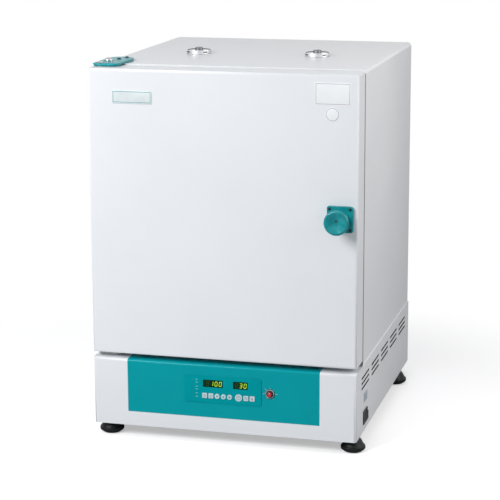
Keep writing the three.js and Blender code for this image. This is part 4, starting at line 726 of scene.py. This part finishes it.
# Feet: the flared pad, the stud and its nut as one profile of (radius, height).
foot = {"left": -248, "right": 263, "front": 30, "rear": 507.04, "round": 0.5,
        "profile": [(0, 0), (17.6, 0), (18.4, 0.9), (23.6, 4.6), (25, 6.4), (25, 11.2), (24.2, 12.2),
                    (22.6, 13), (16.2, 24.2), (15, 25.7), (4, 25.7), (4, 28.3), (7, 28.3), (7, 34.3),
                    (4, 34.3), (4, 43.2), (3.2, 44), (0, 44)]}
footProfile = softened(foot["profile"], foot["round"], 3)
for name in ("front_left", "front_right", "rear_left", "rear_right"):
    along, across = name.split("_")
    footRings = turnedRings(footProfile, 64, (foot[across], foot[along], 0), "top")
    body, slot = f"foot_{name}_body", slotOf[f"foot_{name}"]
    pad = makePiece(f"foot_pad_{name}", [footRings], "rubber", body, slot, sharp=40)
    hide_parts(f"foot_{name}")
print("feet made")

# Keys. Each has its middle and its kind; dish holds (share of the size, fall) of the cap's hollow.
keypad = {"front": -1.3, "keyFront": -2.9, "keyRoot": -4.5, "keyZ": 102.0, "edge": 0.6, "corner": 1.2,
          "sizes": {"square": 10.6, "round": 10.6, "large": 15.0}, "dish": ((0.2, 0.12), (0.36, 0.2)),
          "keys": {"program": (-37.35, "square"), "mode": (-24.3, "square"), "down": (-11.25, "round"),
                   "up": (1.8, "round"), "set": (14.85, "round"), "start": (33.75, "large"),
                   "timer": (48.95, "square"), "lock": (62.05, "square")}}
triangle = np.array([(-2.2, -1.4), (2.2, -1.4), (0, 2.2)])
keySigns = {
    "program": [bar(0, 2, 5, 0.9), bar(0, 0, 5, 0.9), bar(0, -2, 5, 0.9)],
    "mode": ringPieces(2.6, 1.7),
    "down": [triangle[::-1] * (1, -1)],
    "up": [triangle],
    "set": [bar(0, 0, 4.4, 1.1), bar(0, 0, 1.1, 4.4)],
    "start": [*ringPieces(4.4, 3.4, 16), bar(0, 2.2, 1.1, 5)],
    "timer": [*ringPieces(2.9, 2.2), bar(0, 1, 0.8, 2.2), bar(0.8, 0, 1.8, 0.8)],
    "lock": [bar(0, -1, 4.2, 3.2), bar(-1.4, 1.4, 0.7, 2.2), bar(1.4, 1.4, 0.7, 2.2), bar(0, 2.3, 3.5, 0.7)],
}
proud = keypad["front"] - keypad["keyFront"]
for name, (x, kind) in keypad["keys"].items():
    size = keypad["sizes"][kind]
    corner = keypad["corner"] if kind == "square" else size / 2 - 0.01  # a hair less than a half circle
    rows = [(0, keypad["keyRoot"]), *roundEdge(proud, keypad["edge"], 4)[1:]]
    rows += [(size * share, proud - fall) for share, fall in keypad["dish"]]
    capRings = slabRings((size, size), corner, rows, (x, keypad["front"], keypad["keyZ"]), "front", steps=8)
    body = f"key_{name}_cap"
    cap = makePiece(f"key_{name}_button", [capRings], "keyPlastic", body, slotOf["key_" + name], sharp=40)
    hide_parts("key_" + name)
    signAt = (x, keypad["keyFront"] + keypad["dish"][-1][1], keypad["keyZ"])
    printed(f"key_{name}_sign", keySigns[name], signAt, "printDark" if kind == "round" else "printWarm", body)

# Displays: each window has its middle, its width and its lit figures. One unlit figure stands before them.
display = {"z": 127.6, "height": 15.0, "depth": 10, "root": 8.7, "edge": 0.35, "corner": 0.8, "front": -1.3,
           "pitch": 8.8, "margin": 4.9, "unlitThick": 0.08,
           "figure": 9, "widthShare": 0.5, "strokeShare": 0.085, "gapShare": 0.25, "slant": 0.12,
           "windows": {"temperature": (-20.35, 41, "100"), "timer": (37.15, 30, "30")}}
segmentsOf = {"0": "abcdef", "1": "bc", "3": "abcdg", "8": "abcdefg"}


# The bars of a figure: each is six-sided, and is sheared to the right by slant times its height.
def segmentShapes(figure, x):
    h = display["figure"]
    w, thick = h * display["widthShare"], h * display["strokeShare"]
    level = {"a": (0, h / 2), "g": (0, 0), "d": (0, -h / 2)}
    upright = {"f": (-w / 2, h / 4), "b": (w / 2, h / 4), "e": (-w / 2, -h / 4), "c": (w / 2, -h / 4)}
    shapes = []
    for key in segmentsOf[figure]:
        half = (h / 4 if key in upright else w / 2) - thick * display["gapShare"]
        shoulder, side = half - thick / 2, thick / 2
        hexagon = np.array([(-half, 0), (-shoulder, side), (shoulder, side), (half, 0), (shoulder, -side),
                            (-shoulder, -side)])
        shape = hexagon[:, ::-1] + upright[key] if key in upright else hexagon + level[key]
        shapes.append(np.column_stack([shape[:, 0] + shape[:, 1] * display["slant"] + x, shape[:, 1]]))
    return shapes


lensRows = roundEdge(display["depth"], display["edge"], 3)
pitch = display["pitch"]
for name, (x, width, figures) in display["windows"].items():
    lensRings = slabRings((width, display["height"]), display["corner"], lensRows,
                          (x, display["root"], display["z"]), "front", steps=4)
    lens = makePiece(f"display_{name}_lens", [lensRings], "lens", "oven_body", slotOf["display_" + name])
    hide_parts("display_" + name)
    last, at = width / 2 - display["margin"], (x, display["front"], display["z"])
    *lit, unlit = [segmentShapes(figure, last - i * pitch) for i, figure in enumerate(figures[::-1] + "8")]
    printed(f"display_{name}_figures", sum(lit, []), at, "digits", "oven_body")
    printed(f"display_{name}_unlit", unlit, at, "unlit", "oven_body", display["unlitThick"])

# Lamps beside the displays, each a low bead with a mark to its right.
lamps = {"rows": (134.7, 128.9, 120.1, 114.4, 106, 99), "beadX": -62.5, "radius": 1.15, "rise": 0.5,
         "sunk": 0.2, "markX": -54.4, "mark": (5, 0.9), "markThick": 0.1}
lampMarks = [bar(lamps["markX"], z, *lamps["mark"]) for z in lamps["rows"]]
printed("lamp_marks", lampMarks, (0, keypad["front"], 0), "printPale", "oven_body", lamps["markThick"])
lampRows = [(lamps["radius"], -lamps["sunk"]), *domeRows(lamps["radius"], lamps["rise"], 5).tolist()]
lampBeads = [turnedRings(lampRows, 16, (lamps["beadX"], keypad["front"], z), "front") for z in lamps["rows"]]
makePiece("lamp_beads", lampBeads, "tealGloss", "oven_body", "teal_film")

# Limiter dial: its side is fluted between two heights, radius * (1 - depth * (0.5 + 0.5 cos(flutes * a))).
# Profiles are (radius, outward), and ticks are (degrees, length).
dial = {"at": (98.35, 0, 115), "flutes": 18, "fluteDepth": 0.05, "fluteFrom": 2.8, "fluteTo": 5.1,
        "fluteRadius": 5.9, "front": 5.6, "bodyRound": 0.3, "capRound": 0.2, "ringRound": 0.15,
        "body": [(0, 1.6), (7, 1.6), (7, 2.5), (6.6, 3), (6.4, 5), (5.8, 5.4), (4.8, 5.4), (4.7, 5), (0, 5)],
        "cap": [(0, 4.6), (4.5, 4.6), (4.5, 5.5), (3.9, 5.85), (0, 5.95)],
        "ring": [(7.9, 1.2), (8.9, 1.2), (8.9, 1.5), (8.6, 1.8), (8.2, 1.8), (7.9, 1.5)],
        "pointer": (0, 2.4, 0.8, 2.4), "printThick": 0.25, "tickFrom": 10.6, "tickWide": 1.0,
        "ticks": ((0, 5.4), (45, 1.6), (90, 2.6), (135, 3.4), (180, 4.0), (236, 2.0), (304, 2.0))}
angle = np.linspace(0, 2 * np.pi, 144, endpoint=False)
flute = 1 - dial["fluteDepth"] * (0.5 + 0.5 * np.cos(dial["flutes"] * angle))
dialRows = softened(dial["body"], dial["bodyRound"], 4)
r, h = dialRows[:, :1], dialRows[:, 1:2]
fluted = (h > dial["fluteFrom"]) & (h < dial["fluteTo"]) & (r > dial["fluteRadius"])
r = np.where(fluted, r * flute, r + 0 * angle)
dialRings = onFace(np.stack([r * np.cos(angle), r * np.sin(angle), h + 0 * angle], -1), dial["at"], "front")
bodySlot, capSlot = slotOf["limiter_thermostat"], slotOf["limiter_dial"]
dialBody = makePiece("limiter_dial_body", [dialRings], "blackPlastic", "limiter_knob", bodySlot, sharp=40)
capRings = turnedRings(softened(dial["cap"], dial["capRound"], 4), 48, dial["at"], "front")
dialCap = makePiece("limiter_dial_cap", [capRings], "redPlastic", "limiter_knob", capSlot, sharp=40)
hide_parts("limiter_dial")
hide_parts("limiter_dial")
dialX, _, dialZ = dial["at"]
thick = dial["printThick"]
pointerAt = (dialX, -dial["front"] - thick, dialZ)
printed("limiter_pointer", [bar(*dial["pointer"])], pointerAt, "printWhite", "limiter_knob", thick)
ringRings = turnedRings(softened(dial["ring"], dial["ringRound"], 3), 64, dial["at"], "front")
loopPiece("limiter_ring", ringRings, "badge", "oven_body", "stainless", sharp=40)
ticks = [turned(bar(dial["tickFrom"] + long / 2, 0, long, dial["tickWide"]), math.radians(degrees))
         for degrees, long in dial["ticks"]]
printed("limiter_scale", ticks, dial["at"], "printPale", "oven_body")
print("control panel made")

# Power switch: a paddle with a hollow face, outward = face - hollow * (1 - v^2), tilted about its pivot.
# Sides are (height from the middle, share of the outline).
rocker = {"pivot": (272.3, 89, 55.5), "reach": 12.4, "tilt": 10, "face": 6, "hollow": 1.5, "root": -4,
          "rootShare": 0.6, "sides": ((-9.2, 0.96), (-8.7, 1), (8.7, 1), (9.2, 0.96))}
v = np.linspace(-1, 1, 25)
faceLine = np.column_stack([rocker["face"] - rocker["hollow"] * (1 - v**2), v * rocker["reach"]])
rootReach = rocker["reach"] * rocker["rootShare"]
outline = np.concatenate([faceLine, [(rocker["root"], rootReach), (rocker["root"], -rootReach)]])
outline = turned(outline, math.radians(-rocker["tilt"]))
paddle = [np.column_stack([outline * share, np.full(len(outline), z)]) for z, share in rocker["sides"]]
paddleRings = onFace(np.array(paddle), rocker["pivot"], "top")
rockerSlot = slotOf["switch_rocker"]
switchPaddle = makePiece("switch_paddle", [paddleRings], "blackPlastic", "rocker", rockerSlot, sharp=40)
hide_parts("switch_rocker")

# Places for badge, labels and rating plate, left plain. Each label has its middle, size, corner, thickness,
# edge, the border's y, and the finishes of plate and border.
labels = {
    "badge": ((-182, 705.3), (83, 26.6), 3, 1.2, 0.5, -1.2, "badge", "tealFilm"),
    "upper": ((223.6, 723.5), (72, 45), 1.5, 0.25, 0.1, -0.26, "blankLabel", "printWarm"),
    "round": ((222.9, 683.9), (29, 29), 14.4, 0.25, 0.1, -0.26, "blankLabel", "printDark"),
}
border = {"inset": 2.5, "line": 0.8, "ring": (12.6, 12.0), "ringPieces": 36, "thick": 0.08, "plateY": 0.02}
for name, ((x, z), size, corner, thick, edge, borderY, plateFinish, borderFinish) in labels.items():
    plateRows = roundEdge(thick, edge, 4)
    plateRings = slabRings(size, corner, plateRows, (x, border["plateY"], z), "front", steps=8)
    makePiece(f"{name}_plate", [plateRings], plateFinish, "door", "teal_plastic")
    if name == "round":
        lines = ringPieces(*border["ring"], border["ringPieces"])
    else:
        lines = frameBars(size[0] - 2 * border["inset"], size[1] - 2 * border["inset"], border["line"])
    printed(f"{name}_border", lines, (x, borderY, z), borderFinish, "door", border["thick"])
rating = {"at": (274.98, 93.8, 95.5), "size": (36.4, 19), "corner": 0.8, "thick": 0.3, "edge": 0.1}
ratingRows = roundEdge(rating["thick"], rating["edge"], 3)
ratingRings = slabRings(rating["size"], rating["corner"], ratingRows, rating["at"], "right", steps=4)
makePiece("rating_plate", [ratingRings], "ratingPlate", "oven_body", "zinc_plate")
print("switch and plates made")

# Wire shelves: two side rods, two end rods and thin wires between them, laid a little higher.
shelf = {"half": 190.7, "front": 85.84, "back": 462.84, "rod": 3, "end": 2.6, "wire": 1.6, "wires": 15,
         "wireLift": 0.8, "levels": {"lower": 388.3, "upper": 523.3}}
half, front, back = shelf["half"], shelf["front"], shelf["back"]
near, far = front + shelf["rod"], back - shelf["rod"]
wirePlaces = -half + np.arange(1, shelf["wires"] + 1) * 2 * half / (shelf["wires"] + 1)
for name, z in shelf["levels"].items():
    wires = [wireRings((x, front, z), (x, back, z), shelf["rod"], 16) for x in (-half, half)]
    wires += [wireRings((-half, y, z), (half, y, z), shelf["end"], 14) for y in (near, far)]
    over = z + shelf["wireLift"]
    wires += [wireRings((x, near, over), (x, far, over), shelf["wire"], 10) for x in wirePlaces]
    grid = makePiece(f"wire_shelf_{name}", wires, "wire", f"{name}_shelf", slotOf[f"shelf_{name}"])
    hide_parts(f"shelf_{name}")

# Heaters: a round tube along a hairpin whose middle line runs out, round a half circle and back. A point is
# line + across * radius cos a, and its height is z + radius sin a.
heater = {"offset": 95, "spacing": 90, "radius": 4, "bendY": 150.84, "tail": 525.84, "z": 276,
          "straightSteps": 5, "bendSteps": 33}
half, steps = heater["spacing"] / 2, heater["straightSteps"]
straight = np.column_stack([np.full(steps, -half),
                            np.linspace(heater["tail"], heater["bendY"], steps, endpoint=False)])
bendAngle = np.linspace(0, np.pi, heater["bendSteps"])
bend = np.column_stack([-half * np.cos(bendAngle), heater["bendY"] - half * np.sin(bendAngle)])
hairpin = np.concatenate([straight, bend, straight[::-1] * (-1, 1)])
along = np.gradient(hairpin, axis=0)
along /= np.linalg.norm(along, axis=1)[:, None]
across = np.column_stack([along[:, 1], -along[:, 0]])
angle = np.linspace(0, 2 * np.pi, 16, endpoint=False)
flat = hairpin[:, None, :] + across[:, None, :] * (heater["radius"] * np.cos(angle))[:, None]
heights = np.broadcast_to(heater["z"] + heater["radius"] * np.sin(angle), flat.shape[:2])
heaterRings = np.concatenate([flat, heights[..., None]], -1)
for name, side in (("left", -1), ("right", 1)):
    rings = heaterRings + (side * heater["offset"], 0, 0)
    tube = makePiece(f"heater_tube_{name}", [rings], "sheath", "oven_body", slotOf[f"heater_{name}"])
    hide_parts(f"heater_{name}")

# Seal: a rounded bead, height = depth * (shoulder + crown * sin t), carried round a rounded rectangle.
seal = {"inner": (410.4, 430.4), "corner": 14, "width": 10, "back": 65.54, "front": 58.3, "z": 464,
        "shoulder": 0.35, "crown": 0.65}
t = np.linspace(0, np.pi, 9)
sealDepth = seal["back"] - seal["front"]
rise = sealDepth * (seal["shoulder"] + seal["crown"] * np.sin(t))
crown = np.column_stack([seal["width"] / 2 * (1 - np.cos(t)), rise])
sealRows = np.concatenate([[(0, 0)], crown, [(seal["width"], 0)]]) * (-1, 1)  # outwards is a negative inset
sealRings = slabRings(seal["inner"], seal["corner"], sealRows, (0, seal["back"], seal["z"]), "front", steps=8)
sealBead = loopPiece("frame_seal_bead", sealRings, "silicone", "oven_body", slotOf["frame_seal"])
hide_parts("frame_seal")
print("chamber made")


# Small screws on back panel, front frame and door.
def screwGrid(xs, y, zs):  # a place for each x at each z
    return [(x, y, z) for x in xs for z in zs]


smallScrews = {  # places, side, radius of the head, and the body that carries them
    "back_screws": (screwGrid((-258, -86, 86, 258), 600.1, (180, 748))
                    + screwGrid((-258, 258), 600.1, (320, 464, 608)), "back", 3.4, "oven_body"),
    "frame_screws": (screwGrid((-250, 250), 65.8, (200, 730)) + screwGrid((0,), 65.8, (740, 190)),
                     "front", 3.2, "oven_body"),
    "door_screws": (screwGrid((-258, 258), 58.05, (190, 340, 600, 748))
                    + screwGrid((-90, 90), 58.05, (190, 748)), "back", 3.2, "door"),
}
for name, (places, side, radius, body) in smallScrews.items():
    screwHeads(name, places, side, radius, body)
print("small screws made")

# Floor, in metres. Seen by the camera, the paper is paler and lifted a little near the oven, and turns to
# plain white further out.
paper = {"half": 30.0, "colour": (0.54, 0.54, 0.55, 1), "rough": 0.95, "specular": 0.1, "nearFade": 0.45,
         "farFade": 0.95, "lift": 0.4, "gain": 0.36}
white = (1, 1, 1, 1)
floorMesh = bpy.data.meshes.new("floorSheet")
corners = np.array([(-1, -1, 0), (1, -1, 0), (1, 1, 0), (-1, 1, 0)], float) * paper["half"]
floorMesh.from_pydata(corners.tolist(), [], [(0, 1, 2, 3)])
floorSheet = bpy.data.objects.new("floorSheet", floorMesh)
bpy.context.scene.collection.objects.link(floorSheet)
paleFloor = bpy.data.materials.new("paleFloor")
paleFloor.use_nodes = True
tree = paleFloor.node_tree
plain = setInputs(tree, tree.nodes["Principled BSDF"], {
    "Base Color": paper["colour"], "Roughness": paper["rough"], "Specular IOR Level": paper["specular"]})
away = addNode(tree, "ShaderNodeVectorMath", {0: objectPlace(tree)}, operation="LENGTH").outputs["Value"]
fadeOver = {"Value": away, "From Min": paper["nearFade"], "From Max": paper["farFade"]}
fade = addNode(tree, "ShaderNodeMapRange", fadeOver, interpolation_type="SMOOTHSTEP").outputs[0]
seen = addNode(tree, "ShaderNodeLightPath", {}).outputs["Is Camera Ray"]
lift, gain = maths(tree, "MULTIPLY", seen, paper["lift"]), maths(tree, "MULTIPLY", seen, paper["gain"])
lifted = addNode(tree, "ShaderNodeEmission", {"Color": white, "Strength": lift})
paler = addNode(tree, "ShaderNodeBsdfDiffuse", {"Color": gain})
raised = addNode(tree, "ShaderNodeAddShader", {0: paler.outputs[0], 1: lifted.outputs[0]})
near = addNode(tree, "ShaderNodeAddShader", {0: plain.outputs[0], 1: raised.outputs[0]})
far = addNode(tree, "ShaderNodeEmission", {"Color": white, "Strength": 1.0})
blended = addNode(tree, "ShaderNodeMixShader", {
    0: maths(tree, "MULTIPLY", seen, fade), 1: near.outputs[0], 2: far.outputs[0]})
setInputs(tree, tree.nodes["Material Output"], {"Surface": blended.outputs[0]})
floorMesh.materials.append(paleFloor)

# Studio: a soft sky on the oven, and plain white where the camera or a reflection sees it.
studio = {"colour": (0.95, 0.97, 1.0, 1), "level": 0.355}
world = bpy.data.worlds.new("studio")
bpy.context.scene.world = world
world.use_nodes = True
sky = world.node_tree
soft = setInputs(sky, sky.nodes["Background"], {"Color": studio["colour"], "Strength": studio["level"]})
plainWhite = addNode(sky, "ShaderNodeBackground", {"Color": white, "Strength": 1.0})
rays = addNode(sky, "ShaderNodeLightPath", {}).outputs
shown = maths(sky, "MAXIMUM", rays["Is Camera Ray"], rays["Is Glossy Ray"])
mixed = addNode(sky, "ShaderNodeMixShader", {0: shown, 1: soft.outputs[0], 2: plainWhite.outputs[0]})
setInputs(sky, sky.nodes["World Output"], {"Surface": mixed.outputs[0]})

# Lamps: place, what each looks at and size in metres, power in watts, and colour.
softboxes = {
    "keySoftbox": ((-1.15, -2.1, 1.75), (0, -0.3, 0.6), (1.1, 1.1), 52.5, (1, 1, 1)),
    "rightFill": ((1.2, -0.2, 0.98), (0.27, 0, 0.6), (0.7, 0.7), 7, (1.0, 0.97, 0.94)),
}
for name, (at, aim, size, power, colour) in softboxes.items():
    data = bpy.data.lights.new(name, "AREA")
    data.shape, data.size, data.size_y, data.energy, data.color = "RECTANGLE", *size, power, colour
    lamp = bpy.data.objects.new(name, data)
    bpy.context.scene.collection.objects.link(lamp)
    back = np.array(at, float) - np.array(aim, float)
    back /= np.linalg.norm(back)
    across = np.cross((0, 0, 1), back)
    across /= np.linalg.norm(across)
    axes = np.column_stack([across, np.cross(back, across), back])
    lamp.matrix_world = Matrix.Translation(at) @ Matrix(axes.tolist()).to_4x4()

# Camera: fitted to the oven's edges in the photograph. Its place and sensor are millimetres, angles are
# radians, and focal, centreRow and frame are pixels.
view = {"at": (920.16, -3250.75, 1173.24), "yaw": -0.259128, "pitch": -0.214924, "roll": -0.0042884,
        "focal": 1746.1, "centreRow": 235.0, "frame": 500, "sensor": 36}
yaw, pitch, roll = view["yaw"], view["pitch"], view["roll"]
forward = np.array([math.sin(yaw) * math.cos(pitch), math.cos(yaw) * math.cos(pitch), math.sin(pitch)])
level = np.array([math.cos(yaw), -math.sin(yaw), 0.0])
above = np.cross(level, forward)
right, up = math.cos(roll) * level + math.sin(roll) * above, -math.sin(roll) * level + math.cos(roll) * above
cameraData = bpy.data.cameras.new("camera")
cameraData.sensor_width = view["sensor"]
cameraData.lens = view["focal"] / view["frame"] * view["sensor"]
cameraData.shift_y = (view["centreRow"] - view["frame"] / 2) / view["frame"]
camera = bpy.data.objects.new("camera", cameraData)
bpy.context.scene.collection.objects.link(camera)
camera.matrix_world = Matrix.Translation((np.array(view["at"]) * mm + ovenOrigin).tolist()) @ \
    Matrix(np.column_stack([right, up, -forward]).tolist()).to_4x4()
bpy.context.scene.camera = camera
bpy.context.scene.view_settings.view_transform = "Standard"

print("scene ready")
